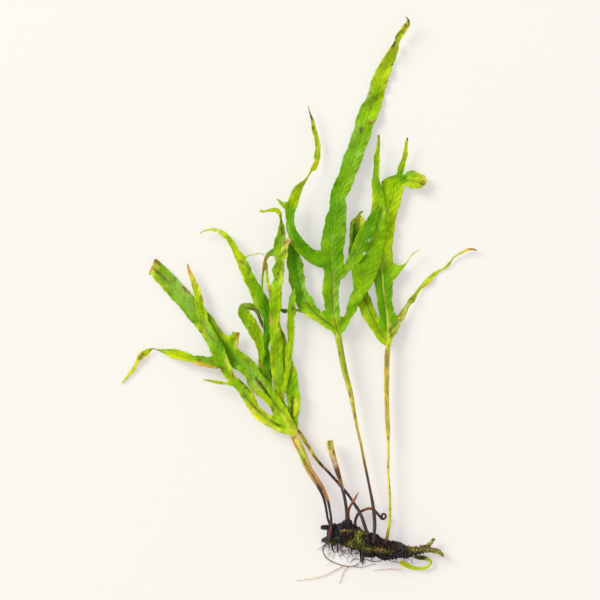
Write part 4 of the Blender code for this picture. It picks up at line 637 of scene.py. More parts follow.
INNER_LEFT_FOLD = dict(
    base=((263.2, 376), (262.6, 356)),
    spine=(
        (264, 366, 6), (261.8, 353, 4), (259.3, 341, 5), (253.4, 328.5, 6.2), (247.2, 318.5, 6.1),
        (243.8, 311.6, 5.4), (245, 307.9, 4.9), (250, 306.7, 3.8), (255, 308.4, 2.8), (257.9, 313, 1.8),
        (260, 318.5, 1.5), (262, 324, 1.5), (265, 330, 1),
    ),
    heights=((0, 2.4), (0.25, 3.2), (0.55, 5.2), (0.68, 5.6), (0.76, 4.4), (0.85, 2.8), (1, 2.2)),
    turns=((0, 0), (0.4, 10), (0.65, 0), (1, 0)),
    tints=(
        (0, "mid"), (0.25, "acid bright acid"), (0.5, "mid bright acid"), (0.62, "mid mid bright"),
        (0.7, "mid olive mid"), (0.78, "olive sheen olive"), (0.85, "olive"), (0.92, "shade"), (1, "olive"),
    ),
    ripples=0.8,
)
INNER_LEFT_TENDRIL = dict(
    base=((245.3, 259.2), (243.7, 256.5)),
    spine=((244.5, 258, 1.2), (248, 255.7, 0.6), (254, 254.6, 0.5), (260, 253.4, 0.5), (264.3, 254.7, 0.4)),
    heights=((0, 4.6), (1, 4)),
    tints=((0, "lime"), (1, "straw")),
    ripples=0.3,
)
INNER_LEFT_STROKES = (
    ("maroon", 1.3, 0.85, 257.5, 366, 257, 371), ("brown", 1.2, 0.85, 259.5, 360.5, 259.8, 369),
    ("yellow", 0.9, 0.6, 258.3, 363, 258.6, 367), ("umber", 1.2, 0.85, 271, 371.5, 271.3, 374.5),
    ("umber", 1.1, 0.8, 274.6, 358.5, 274.8, 365.5), ("umber", 1, 0.8, 266, 375.5, 266.4, 378),
    ("brown", 0.8, 0.6, 251, 322.5, 252, 323.3), ("brown", 0.8, 0.6, 249.5, 327, 250.3, 328),
    ("brown", 0.8, 0.5, 246.5, 320.3, 248, 320.6), ("brown", 0.8, 0.5, 255, 338, 255.6, 339),
    ("olive", 0.8, 0.7, 241, 304.2, 247, 303.6, 254, 303.4),
    ("umber", 0.8, 0.6, 243.5, 306, 247, 308.6, 251, 309.8, 256, 308.8),
    ("sheen", 1.4, 0.7, 246, 305.2, 250, 305),
    ("umber", 0.8, 0.7, 257.5, 309.5, 260, 317, 262, 323.5, 265, 330),
    ("sheen", 0.9, 0.6, 257, 307, 262, 312, 266, 319, 270, 325),
    ("yellow", 1, 0.5, 236, 250, 240, 258, 244.5, 267, 249, 276),
    ("shade", 1.5, 0.4, 258, 283, 261.5, 292, 265, 302, 267, 315), ("brown", 0.9, 0.8, 240, 261, 243, 263),
    ("brown", 0.9, 0.8, 253.5, 279.5, 254, 280), ("shade", 1.8, 0.45, 267, 317, 267, 345, 268, 368),
    ("gold", 1.4, 0.5, 266, 382.5, 270, 388),
)
INNER_LEFT_STEM = dict(
    line=(
        (290.8, 430.6, 4), (293, 438, 4.2), (297.2, 446.5, 4.2), (300.9, 455, 3.8), (303.7, 463, 3.4),
        (308.2, 471.4, 3.3), (312.9, 478.8, 3.2), (317.3, 485.3, 3.1), (321, 491.8, 3), (323.9, 498.8, 2.8),
        (325.4, 505, 2.6), (326.7, 512, 2.5), (327.6, 518, 2.4), (330, 525, 2.6),
    ),
    heights=((0, 2.2), (0.3, 3.4), (0.7, 3.6), (1, 3.6)),
    tints=(
        (0, "yellow"), (0.08, "gold"), (0.12, "orange"), (0.2, "orange"), (0.24, "lime"), (0.36, "petiole"),
        (0.44, "tan"), (0.56, "tan"), (0.62, "umber"), (0.7, "wine"), (1, "wine"),
    ),
    strokes=(
        ("orange", 1.8, 0.8, 291.5, 439.5, 294.5, 447), ("lime", 1.1, 0.7, 297.5, 450, 300.5, 459),
        ("rust", 0.7, 0.6, 306, 470, 311, 478.5, 315, 484),
        ("orange", 0.7, 0.7, 304.8, 468, 309, 476, 313, 482.5),
    ),
)

# Inner right frond
INNER_RIGHT_MAIN = dict(
    spine=(
        (295.4, 427, 2.8), (293.8, 418, 4.6), (293.7, 408, 6.1), (293.5, 398, 6.5), (292, 388, 6.8),
        (291, 378, 6.8), (288, 368, 6.5), (285.5, 358, 5.5), (283, 348, 5), (281.2, 338, 4), (279, 328, 2.6),
        (277, 318, 1.2),
    ),
    heights=((0, 3.6), (0.4, 3), (0.7, 2.6), (1, 2.8)),
    turns=((0, 0), (0.5, -10), (1, 0)),
    tints=(
        (0, "lime"), (0.1, "bright"), (0.25, "mid bright lime"), (0.33, "mid mid bright"),
        (0.46, "mid mid bright"), (0.54, "bright bright lime"), (0.66, "mid acid lime"), (1, "bright"),
    ),
)
INNER_RIGHT_TALL = dict(
    base=((289.5, 420), (288, 410)),
    spine=(
        (288.8, 415, 4.2), (283.8, 407, 3.2), (281.3, 400, 3.4), (279.3, 389, 4.6), (278.6, 380, 5.9),
        (277.3, 370, 6.3), (277, 360, 6), (276.7, 350, 6.4), (276, 340, 6), (275, 328, 5), (274.7, 316, 5),
        (275.5, 304, 5.9), (275.8, 294, 6.2), (276.1, 286.5, 5.8), (278.4, 279, 4.3), (278.2, 271.6, 6),
        (280.3, 264, 4.7), (280, 257, 5.5), (279.5, 250, 6.4), (280, 243, 5.5), (281.5, 236, 4.6),
        (281.6, 228, 3.1), (280.8, 220, 1.2), (280, 214.5, 1.5), (278, 211, 2.4), (274, 210, 2.2),
        (268, 210.7, 1.2), (262, 211.5, 1.1), (259.8, 210.8, 0.8),
    ),
    heights=((0, 3.4), (0.1, 3.6), (0.3, 5), (0.5, 6.6), (0.7, 7.6), (0.85, 7.4), (1, 6.2)),
    turns=((0, 0), (0.3, 12), (0.6, -10), (0.8, 15), (1, 0)),
    tints=(
        (0, "bright"), (0.15, "acid bright mid"), (0.3, "acid bright bright"), (0.4, "mid bright bright"),
        (0.52, "bright"), (0.58, "bright bright acid"), (0.64, "mid bright acid"),
        (0.72, "sheen bright lime"), (0.77, "mid mid sheen"), (0.83, "bright bright olive"),
        (0.88, "acid acid brown"), (0.93, "acid"), (1, "acid"),
    ),
    ripples=1.2,
)
INNER_RIGHT_CRUMPLE = dict(
    base=((285, 259), (285.6, 250)),
    spine=(
        (284.8, 254.5, 3.5), (285.5, 249, 2.2), (286.5, 244.5, 1.8), (288, 241, 2.6), (289.8, 238.5, 1.4),
    ),
    heights=((0, 7.6), (0.5, 8), (1, 8.2)),
    tints=((0, "yellow"), (0.4, "straw"), (0.65, "orange"), (0.85, "pink"), (1, "yellow")),
    ripples=0.6,
)
INNER_RIGHT_LOOP = dict(
    base=((273.9, 256), (273.2, 248)),
    spine=(
        (272.5, 252, 3.4), (268.8, 254.5, 2.4), (266, 259, 1.8), (264.6, 265, 1.5), (263.2, 272, 1.3),
        (262.5, 280, 1), (262.3, 290, 0.9), (263, 300, 0.8),
    ),
    heights=((0, 7.6), (0.4, 7), (1, 5.6)),
    tints=((0, "mid"), (0.25, "olive"), (0.4, "rust"), (0.5, "mid"), (1, "deep")),
    ripples=0.3,
)
INNER_RIGHT_STRAND = dict(
    base=((267, 262.5), (265.6, 267)),
    spine=((266, 265, 1.6), (266.8, 272, 1.3), (267, 279, 1.6), (268.5, 286, 1.5), (270, 293, 1)),
    heights=((0, 7), (1, 6.4)),
    tints=((0, "brown"), (0.3, "lime"), (0.7, "yellow"), (1, "brown")),
    ripples=0.3,
)
INNER_RIGHT_SIDE = dict(
    base=((283.6, 393.5), (284.6, 384)),
    spine=(
        (284.2, 389, 3.3), (285.4, 382.5, 2.6), (286.8, 374, 2.8), (288, 364, 3), (289, 354, 3.4),
        (290, 344, 3.3), (290.7, 335, 2.9), (290.7, 328, 3.8), (291, 320, 3.5), (291.5, 312, 4.3),
        (291.5, 305, 3.6), (292.5, 298, 3), (294, 292, 1.8), (294.5, 288, 0.7),
    ),
    heights=((0, 3.6), (0.3, 4.6), (0.6, 5.2), (1, 6.2)),
    turns=((0, 0), (0.5, 10), (1, 0)),
    tints=(
        (0, "mid"), (0.15, "acid bright bright"), (0.4, "bright acid bright"), (0.7, "bright bright acid"),
        (0.85, "mid mid bright"), (0.93, "sheen"), (1, "mid"),
    ),
    ripples=0.8,
)
INNER_RIGHT_STROKES = (
    ("black", 1.15, 1, 292.8, 398, 292.2, 408, 292.2, 419),
    ("yellow", 1.2, 0.8, 295.5, 400, 295.8, 407, 295, 415),
    ("yellow", 0.8, 0.45, 288, 362, 286.2, 375, 284.5, 386, 282.5, 395),
    ("rust", 0.9, 0.75, 281.5, 393.5, 282.6, 399.5), ("sheen", 0.9, 0.8, 269, 343, 269.5, 352),
    ("sheen", 1, 0.8, 277, 365, 277.6, 380), ("sheen", 1, 0.7, 272.5, 377, 273.5, 390),
    ("sheen", 0.8, 0.5, 285.6, 391, 286, 404), ("brown", 1.3, 0.8, 282, 332, 283.3, 336.5),
    ("brown", 0.8, 0.7, 270.4, 290, 270, 296, 270.4, 302), ("orange", 0.7, 0.6, 270.8, 315, 271.2, 325),
    ("orange", 0.7, 0.6, 277, 320, 276.8, 332), ("umber", 0.9, 0.85, 278, 273.3, 278.4, 275),
    ("umber", 0.8, 0.7, 277.2, 279.5, 277.6, 280.5), ("umber", 0.7, 0.8, 282.5, 254.3, 282.6, 255.6),
    ("rust", 1, 0.7, 281.5, 263.5, 282.8, 265),
    ("straw", 1, 0.35, 284, 247, 283.2, 262, 283.2, 276, 281, 292),
    ("brown", 0.6, 0.5, 283.6, 262, 283.2, 270, 282.6, 276),
    ("gold", 0.8, 0.7, 285.2, 243, 283, 247.5, 281.8, 251), ("sheen", 1.8, 0.7, 281, 238, 283.5, 244.5),
    ("umber", 1.1, 0.85, 281.6, 229, 282.6, 234), ("mulberry", 0.7, 0.7, 280.7, 216, 281, 224),
    ("umber", 0.8, 0.6, 284.5, 243.5, 287, 242, 290, 242), ("rust", 1.2, 0.8, 265.5, 259, 267, 263.5),
    ("wine", 1, 0.9, 292.7, 307.6, 292.9, 309.6), ("sheen", 1, 0.5, 293, 292, 294, 299),
    # The darkest green stroke on the next line is painted shade along the gap beside the side lobe.
    ("shade", 0.7, 0.25, 288, 340, 288.5, 325, 289, 312),
)
INNER_RIGHT_STEM = dict(
    line=(
        (297.2, 429.6, 4), (301, 435, 4), (305, 441, 4), (309, 447, 3.8), (312.5, 453, 3.5),
        (316.5, 459, 3.3), (321, 464.5, 3), (326, 469.5, 2.9), (331, 475, 2.8), (336, 480.5, 2.8),
        (341, 486.5, 2.8), (346, 492, 2.8), (350.5, 498, 2.8), (354.5, 504, 3.1), (358.5, 510, 3.3),
        (361, 515, 3.4), (364.5, 525, 3.5), (367, 533, 3.4),
    ),
    heights=((0, 3.6), (0.3, 3.5), (0.45, 3.2), (0.6, 3.4), (0.8, 5.2), (0.93, 6.9), (1, 6.2)),
    tints=(
        (0, "lime"), (0.06, "gold"), (0.22, "gold"), (0.3, "mustard"), (0.36, "umber"), (0.45, "wine"),
        (0.55, "dusk"), (1, "dusk"),
    ),
    strokes=(
        ("brown", 0.9, 0.85, 299, 430.5, 303, 434.5, 306.5, 440), ("lime", 0.9, 0.7, 301.5, 438, 305, 443.5),
        ("umber", 0.9, 0.8, 306.5, 443, 310, 449), ("gold", 0.6, 0.5, 310.5, 448, 315, 455),
        ("umber", 0.7, 0.7, 313, 455, 316, 459.5), ("black", 0.9, 0.8, 319.5, 462.5, 322, 465.4),
        ("tan", 0.5, 0.6, 323.5, 465.8, 327.5, 469.8),
    ),
    slot="dark_stem",
)

# Small young leaf under the rhizome's right end
YOUNG_LEAF = dict(
    spine=(
        (413.3, 557.4, 0.8), (416.3, 557.4, 1.7), (420, 558, 2.4), (424.5, 558.3, 2.3), (428.5, 559.9, 1.6),
        (431, 562.2, 1.2), (430, 565.4, 1.2), (426, 567.9, 1.4), (418.5, 568.7, 1.7), (411, 567.4, 2),
        (406, 565.2, 2.9), (402.5, 563.8, 2.3), (399, 562.6, 0.9),
    ),
    heights=((0, 1.4), (0.3, 1.8), (0.7, 0.8), (1, 0.4)),
    tints=(
        (0, "olive"), (0.06, "umber"), (0.2, "brown black umber"), (0.27, "rust lime sheen"),
        (0.34, "brown lime lime"), (0.45, "gold lime gold"), (0.62, "straw lime gold"),
        (0.76, "yellow lime lime"), (0.86, "yellow"), (0.95, "sun"), (1, "yellow"),
    ),
    ripples=0.3,
)

# Shoots without a blade
CUT_STEM = dict(
    line=(
        (329.2, 440.6, 7.4), (331.3, 450, 6.5), (334, 460, 5.8), (337, 470, 5), (339.5, 478, 4.2),
        (342, 487, 3.5), (344, 495, 3.1), (345.5, 503, 3.1), (346.5, 511, 3.2), (347, 521, 3.4),
    ),
    heights=((0, 5), (0.5, 5.5), (0.8, 5.2), (1, 4.6)),
    tints=(
        (0, "straw"), (0.08, "gold"), (0.15, "tan"), (0.28, "pink"), (0.35, "brown"), (0.47, "umber"),
        (0.6, "dusk"), (1, "dusk"),
    ),
    strokes=(
        ("straw", 1.3, 0.9, 326, 439.5, 327.2, 446, 328.6, 452), ("straw", 1.2, 0.8, 331.5, 438, 332.5, 444),
        ("umber", 0.8, 0.95, 328.6, 438, 329.3, 443, 330.2, 448.5),
        ("gold", 1.3, 0.85, 332.4, 441, 335, 452, 336.8, 461), ("umber", 0.7, 0.75, 333.2, 450, 333.8, 454),
        ("orange", 0.9, 0.8, 337.6, 479, 338.8, 483.5), ("tan", 0.7, 0.7, 341.3, 479, 343.6, 489),
    ),
)
YOUNG_SPIKE = dict(
    line=(
        (348.8, 520, 2.7), (348.2, 513, 2.7), (349, 508, 2.6), (351, 504, 2.5), (353.5, 500.3, 2.4),
        (355.5, 496.5, 2), (358.5, 491.5, 0.9),
    ),
    heights=((0, 5.6), (0.4, 6.8), (0.7, 7.2), (1, 6.8)),
    tints=((0, "wine"), (0.4, "maroon"), (0.7, "rust"), (0.88, "rust"), (1, "orange")),
    slot="young_shoot",
)

STEMS = {
    "centre_frond_stem": CENTRE_STEM,
    "right_frond_stem": RIGHT_STEM,
    "left_frond_stem": LEFT_STEM,
    "inner_left_frond_stem": INNER_LEFT_STEM,
    "inner_right_frond_stem": INNER_RIGHT_STEM,
    "cut_stem": CUT_STEM,
    "young_spike": YOUNG_SPIKE,
}
# Each blade's strokes, then its lobes, each with the number of the lobe that it grows from
BLADES = {
    "centre_frond_blade": (
        CENTRE_STROKES, (None, CENTRE_MAIN), (0, CENTRE_LEFT_UPPER), (1, CENTRE_LEFT_UPPER_TOOTH),
        (0, CENTRE_LEFT_LOWER), (3, CENTRE_LEFT_LOWER_TOOTH), (0, CENTRE_RIGHT_UPPER),
        (0, CENTRE_RIGHT_LOWER),
    ),
    "right_frond_blade": (
        RIGHT_STROKES, (None, RIGHT_MAIN), (0, RIGHT_END), (0, RIGHT_LEFT_LOWER), (0, RIGHT_RIGHT_LOWER),
        (0, RIGHT_TOOTH),
    ),
    "left_frond_blade": (
        LEFT_STROKES, (None, LEFT_MAIN), (0, LEFT_TOOTH), (0, LEFT_RIBBON), (2, LEFT_SIDE), (2, LEFT_SPIKE),
    ),
    "inner_left_frond_blade": (
        INNER_LEFT_STROKES, (None, INNER_LEFT_MAIN), (0, INNER_LEFT_FOLD), (0, INNER_LEFT_TENDRIL),
    ),
    "inner_right_frond_blade": (
        INNER_RIGHT_STROKES, (None, INNER_RIGHT_MAIN), (0, INNER_RIGHT_TALL), (1, INNER_RIGHT_CRUMPLE),
        (1, INNER_RIGHT_LOOP), (3, INNER_RIGHT_STRAND), (1, INNER_RIGHT_SIDE),
    ),
    "young_leaf": ((), (None, YOUNG_LEAF)),
}

# Coiled young frond: its line, then the coil's middle in pixels, its radii, and its angles in degrees
FIDDLEHEAD_LINE = (
    (356, 529, 3), (355.2, 522, 3), (356.5, 517, 2.9), (359.5, 512.6, 2.8), (364, 510, 2.8),
    (370, 508.5, 2.8), (374, 510, 2.7), (377.5, 513.5, 2.6),
)
FIDDLEHEAD_HEIGHTS = ((0, 4.2), (0.3, 3), (1, 3))
FIDDLEHEAD_TINTS = (
    (0, "wine"), (0.3, "maroon"), (0.5, "rust"), (0.6, "maroon"), (0.72, "wine"), (1, "maroon"),
)
COIL_CENTRE = (383.2, 515.8)
COIL_RADIUS = 0.00135
COIL_INNER_RADIUS = 0.00042
COIL_START = 235
COIL_SWEEP = 350

# Each long root and its branches: radius, tints, and line of (x, y)
ROOTS = {
    "root_1": (
        (0.0002, ((0, "umber"), (0.3, "brown"), (0.6, "rust"), (0.85, "brown"), (1, "umber")), (
            (328, 543), (324, 547), (323.2, 552), (326.5, 558.5), (332, 562), (338, 564.6), (344, 566.2),
            (350, 566.8), (354.5, 566), (358, 564),
        )),
        (0.00016, ((0, "skin"), (0.5, "pink"), (1, "straw")), (
            (344, 566.2), (338, 569.5), (332, 572.5), (325, 576), (318, 578), (310, 579.5), (303, 580.3),
            (296, 581.2),
        )),
        (0.00015, ((0, "skin"), (1, "ash")), (
            (349.5, 566.8), (346, 569.5), (343.5, 573), (342, 578), (339.5, 584),
        )),
        (0.00016, ((0, "umber"), (0.5, "ash"), (1, "skin")), (
            (352.5, 566.6), (358, 567.6), (366, 567), (371, 565.2), (375, 564.5),
        )),
    ),
    "root_2": ((0.0002, ((0, "umber"), (1, "ash")), (
        (358.7, 559.4), (355, 559.6), (352, 561), (350, 563.5),
    )),),
    "root_3": ((0.0002, ((0, "umber"), (0.4, "ash"), (1, "ash")), (
        (365.8, 559), (369, 560.8), (375, 562), (380, 561.6), (384.3, 559.8),
    )),),
    "root_4": ((0.00015, ((0, "pink"), (1, "pink")), (
        (402.6, 569.6), (399, 569.8), (393, 569.4), (385, 570), (374, 571),
    )),),
    "root_5": ((0.0002, ((0, "umber"), (0.4, "ash"), (1, "skin")), (
        (385, 556), (388.5, 560.2), (393, 562.2), (398, 563),
    )),),
    "root_6": ((0.00018, ((0, "umber"), (0.4, "skin"), (1, "straw")), (
        (341, 544), (341, 551), (344, 554), (349, 554.6),
    )),),
}
# Short roots fused with the rhizome: (x, y, width)
SHORT_ROOTS = (
    ((329.2, 538, 1), (329.2, 545, 1), (329.4, 549.6, 0.9)),
    ((332, 538, 1.8), (332, 547, 1.7), (334, 552.8, 1.1)),
    ((337.3, 539, 1.3), (337.3, 547, 1.3), (337.6, 552, 1.1)),
    ((351.6, 541, 1.3), (351.5, 549, 1.3), (351.6, 555, 1.1)),
    ((357.5, 542, 1.2), (358.6, 552, 1.2), (355.5, 554.4, 1.1)),
    ((361, 545, 2.6), (360.8, 554, 2.6), (361.1, 562.3, 1.6)),
    ((364.5, 547, 2.2), (363.4, 557, 2.2), (362.8, 564.3, 1.2)),
)
SHORT_ROOT_HEIGHTS = ((0, 2.6), (0.5, 1.6), (1, 0.55))
SHORT_ROOT_TINTS = ((0, "black"), (0.6, "umber"), (1, "umber"))
ROOT_HEIGHTS = ((0, 1.6), (0.35, 0.6), (1, 0.3))
BRANCH_HEIGHTS = ((0, 0.42), (1, 0.3))
# Root hairs as lines of (x, y)
DARK_HAIRS = (
    ((361, 550), (360.4, 556), (361, 562)), ((363, 553), (364, 559), (363, 564)),
    ((359, 550), (359.6, 554), (356, 554.6)), ((362, 551), (362.6, 557), (361.6, 561.5)),
    ((332, 544), (332.4, 550), (334.4, 553)), ((329, 544), (329, 549.5)), ((337.2, 547), (337.4, 552.4)),
    ((351.5, 550), (351.4, 555.4)), ((361, 561), (358.5, 564), (357, 567)),
)
PALE_HAIRS = (
    ((344, 566), (350, 568), (356, 566.5)), ((361, 561), (363, 566), (361, 571)),
    ((332, 562), (328, 565), (324, 565.5)),
)

# Rhizome: (x, y, radius) in pixels along its middle, knobs as (x, y, height mm, spread mm, swelling mm),
# and stubs and tips as height in mm, tints, and line of (x, y, width)
RHIZOME_LINE = (
    (327, 536, 6), (331, 535, 8.2), (338, 534.5, 9), (346, 535, 9.6), (355, 538.5, 9.2), (365, 542, 9.4),
    (375, 545.5, 9), (385, 549, 8.5), (392, 549.9, 7.8), (400, 550.4, 6.8), (408, 551.7, 5.2),
    (416, 550.7, 3.8), (424, 549, 3.6), (431, 547.8, 2.4),
)
KNOBS = (
    (347.2, 523, 4.6, 2.5, 3.5), (333, 527, 4.2, 2, 1), (367, 552, 2.4, 2.6, 1.8), (383, 556, 2.4, 2.4, 1.1),
    (396, 555, 2.6, 2, 0.6), (358, 531, 5.4, 2, 1.2), (377, 538, 4.6, 1.8, 0.9), (330, 543, 2.6, 2, 1),
    (397, 543, 4, 1.8, 0.5), (365.5, 538.5, 5.6, 2.3, 1.2), (352, 543, 5.6, 2.2, 0.8),
    (385, 547, 6, 2.4, 0.8), (341, 531, 6.4, 2, 0.7),
)
STUBS = (
    (3.6, ((0, "bark"), (0.5, "wine"), (1, "umber")), (
        (333, 527.5, 6), (327, 527.3, 5.6), (322.8, 527.4, 4.9),
    )),
    # This stub's blue-grey is a painted highlight.
    (2.9, ((0, "bark"), (0.5, "painted_blue_highlight"), (1, "painted_blue_highlight")), (
        (332, 539.5, 7.2), (327, 540, 6.8), (323.6, 540.3, 4.8),
    )),
    (3.2, ((0, "brown"), (0.4, "mustard"), (0.62, "gold"), (0.76, "gold"), (1, "straw")), (
        (424, 549, 5.6), (428.3, 545.5, 4.8), (431.3, 542.3, 3.8), (433.5, 539.3, 3),
    )),
    (
        2.8,
        ((0, "brown"), (0.3, "mustard"), (0.45, "gold"), (0.75, "petiole"), (0.88, "yellow"), (1, "yellow")),
        ((424, 549.5, 6), (432, 550.2, 5.4), (438, 551.6, 5), (441, 553.6, 4), (442.8, 555.6, 3)),
    ),
    (4.2, ((0, "bark"), (1, "moss")), ((384, 548, 5), (386, 543, 4.6), (386.3, 541, 4.2))),
)
# Blue-grey strokes in this list are painted highlights on the bark.
RHIZOME_STROKES = (
    # The black strokes are painted shade in the hollows between the knobs.
    ("black", 2.8, 1, 329, 523, 333, 521, 332, 530, 336, 533), ("black", 2.4, 0.9, 342, 535.5, 351, 537),
    ("black", 2.2, 0.85, 348, 522, 351, 526.5), ("black", 2.8, 0.9, 364.5, 536, 364.5, 542),
    ("black", 2, 0.8, 372, 541, 376, 544), ("painted_blue_highlight", 2.4, 0.85, 337.8, 524.5, 338, 532, 338.6, 546),
    ("painted_blue_highlight", 2.6, 0.7, 324, 540, 330, 536), ("umber", 2, 0.8, 343, 520.5, 347, 518.5, 352, 521.5),
    ("maroon", 1.4, 0.8, 341, 532.8, 349, 533), ("rust", 1.2, 0.7, 352, 529.6, 357, 530),
    ("gold", 0.6, 0.75, 340.5, 530, 346, 529.7, 352, 530.8), ("straw", 0.6, 0.7, 341.5, 529.7, 345.5, 529.5),
    ("gold", 1.4, 0.9, 357.5, 531.2, 362, 530.8, 366.5, 531.4),
    ("straw", 0.5, 0.6, 358.5, 531.4, 364, 530.9), ("lime", 2.2, 1, 356.8, 535, 357.3, 538, 358.8, 542),
    ("sun", 1.3, 0.9, 356.8, 535.5, 357.5, 539, 358.6, 541.5),
    ("bright", 1.4, 0.9, 360.5, 542.5, 362.5, 543.3), ("olive", 1.6, 0.75, 327.5, 541.5, 335, 544),
    ("mustard", 1.8, 0.85, 345.5, 543, 352, 545), ("gold", 1.2, 0.8, 350.5, 541.5, 351.5, 544.5),
    ("olive", 2, 0.85, 356, 546, 364, 547, 371, 548.8), ("gold", 1.2, 0.85, 364, 547.2, 370, 548.6),
    ("umber", 2.6, 0.8, 374, 547.5, 392, 552), ("gold", 1.4, 0.8, 376, 548.6, 390, 551.2),
    ("tan", 0.8, 0.6, 379, 549, 384, 550.4), ("maroon", 2.4, 0.6, 377, 536.5, 387, 541),
    ("brown", 2.6, 0.7, 389, 543.5, 399, 547), ("moss", 1.8, 0.6, 346, 540, 352, 539.5),
    ("painted_blue_highlight", 3, 0.85, 398, 544.5, 405, 549, 404, 554, 398, 556),
    ("straw", 3, 0.95, 410.5, 548.5, 415, 547.5, 420, 547, 429, 547.5),
    ("brown", 1.2, 0.65, 410, 552.4, 422, 551.6), ("gold", 1.6, 0.9, 414.5, 548.5, 421.5, 548.6),
    ("gold", 1.6, 0.9, 425.5, 550, 431, 551), ("maroon", 1, 0.7, 421.5, 546, 427.5, 546),
    ("umber", 3, 0.6, 384, 545, 396, 549, 406, 550),
)


def tint(name):
    """The named tint as linear colour: the sRGB curve undone."""
    share = np.array(TINTS[name]) / 255
    return np.where(share <= 0.04045, share / 12.92, ((share + 0.055) / 1.055) ** 2.4)


def tinted(stops, share):
    """Colours at the shares of a length: straight lines between the tints at the stops."""
    knots = [stop for stop, _ in stops]
    colours = np.array([tint(name) for _, name in stops])
    return np.stack([np.interp(share, knots, channel) for channel in colours.T], axis=-1)


def sheet_tints(stops, share, across):
    """Colours over a lobe, whose stops give one tint or three: at the left edge, the middle and the right.

    Between the middle and an edge, the share of the edge's tint is the distance from the middle to a set
    power.
    """
    threes = [(stop, (names.split() * 3)[:3]) for stop, names in stops]
    sides = ([(stop, names[side]) for stop, names in threes] for side in range(3))
    left, middle, right = (tinted(side, share) for side in sides)
    edges = np.where((across > 0)[None, :, None], left[:, None, :], right[:, None, :])
    edge_share = (np.abs(across) ** EDGE_TINT_POWER)[None, :, None]
    return middle[:, None, :] + edge_share * (edges - middle[:, None, :])


def place(x, y):
    """Pixels to metres: +X to the photograph's right, +Y to its top."""
    return (np.asarray(x, float) - MIDDLE[0]) * PIXEL, (MIDDLE[1] - np.asarray(y, float)) * PIXEL


def through(knots, values, wanted):
    """A smooth curve through the values at the knots: cubic pieces whose slopes are a parabola's."""
    knots = np.asarray(knots, float)
    values = np.asarray(values, float)
    slopes = np.gradient(values, knots, axis=0)
    piece = np.clip(np.searchsorted(knots, wanted, side="right") - 1, 0, len(knots) - 2)
    step = knots[piece + 1] - knots[piece]
    share = (wanted - knots[piece]) / step
    if values.ndim > 1:
        share, step = share[:, None], step[:, None]
    return (
        (2 * share**3 - 3 * share**2 + 1) * values[piece]
        + (share**3 - 2 * share**2 + share) * step * slopes[piece]
        + (3 * share**2 - 2 * share**3) * values[piece + 1]
        + (share**3 - share**2) * step * slopes[piece + 1]
    )


def ease(value):
    """0 below 0, 1 above 1, and a smooth rise between them: v v (3 - 2 v)."""
    value = np.clip(value, 0, 1)
    return value * value * (3 - 2 * value)


def bell(distance, width):
    """A bell curve, 1 at no distance: e to the power of minus the square of distance over width."""
    return np.exp(-((distance / width) ** 2))


def ripple(points, wavelength, seed):
    """Smooth noise of the points, from about -1 to 1: eight sine waves in set directions, added up."""
    random = np.random.RandomState(seed)
    directions = random.normal(size=(NOISE_WAVES, 3))
    directions /= np.linalg.norm(directions, axis=1)[:, None]
    scale = random.uniform(*NOISE_SCALES, NOISE_WAVES)[:, None]
    phase = random.uniform(0, 2 * np.pi, NOISE_WAVES)
    waves = np.sin(points @ (directions * scale).T * 2 * np.pi / wavelength + phase)
    return waves.sum(axis=-1) / NOISE_HEIGHT


def smooth_line(stations, heights):
    """A line of (x, y, width) pixels as fine points: distance along it, (x, y, z) and width, in metres."""
    stations = np.array(stations, float)
    x, y = place(stations[:, 0], stations[:, 1])
    knots = np.concatenate([[0], np.cumsum(np.hypot(np.diff(x), np.diff(y)))])
    fine = np.linspace(0, knots[-1], max(LEAST_POINTS, int(knots[-1] / LINE_SPACING)))
    path = through(knots, np.column_stack([x, y, stations[:, 2] * PIXEL]), fine)
    heights = np.array(heights, float)
    height = through(heights[:, 0], heights[:, 1], fine / knots[-1]) / 1000
    return fine, np.column_stack([path[:, :2], height]), path[:, 2]


def read_at(fine, values, wanted):
    """Each column of the values, read at the wanted distances."""
    return np.column_stack([np.interp(wanted, fine, column) for column in values.T])


def sideways(fine, path, wanted):
    """Unit directions to the left of the path, from its slope averaged over a short stretch."""
    apart = fine[None, :] - wanted[:, None]
    weight = bell(apart, SLOPE_STRETCH)
    weight /= weight.sum(axis=1)[:, None]
    centred = weight * (apart - (weight * apart).sum(axis=1)[:, None])
    slope = centred @ path[:, :2]
    slope /= np.linalg.norm(slope, axis=1)[:, None]
    return np.column_stack([-slope[:, 1], slope[:, 0]])


def lobe_rows(lobe, stops):
    """Rows across a lobe: distance, middle, half width, left direction and tilt. A row falls on each stop."""
    fine, path, half = smooth_line(lobe["spine"], lobe["heights"])
    length = fine[-1]
    stops = np.unique(np.clip(np.concatenate([[0, length], np.asarray(stops, float)]), 0, length))
    stops = stops[np.concatenate([[True], np.diff(stops) > SAME_ROW])]
    runs = [
        np.linspace(start, end, max(1, round((end - start) / ROW_SPACING)), endpoint=False)
        for start, end in zip(stops[:-1], stops[1:])
    ]
    at = np.concatenate(runs + [[length]])
    left = sideways(fine, path, at)
    if lobe.get("level"):
        left[:] = (-1, 0)
    turns = np.array(lobe.get("turns", ((0, 0), (1, 0))), float)
    tilt = np.tan(np.radians(np.interp(at / length, turns[:, 0], turns[:, 1])))
    width = np.maximum(np.interp(at, fine, half), NARROWEST)
    return at, read_at(fine, path, at), width, left, tilt


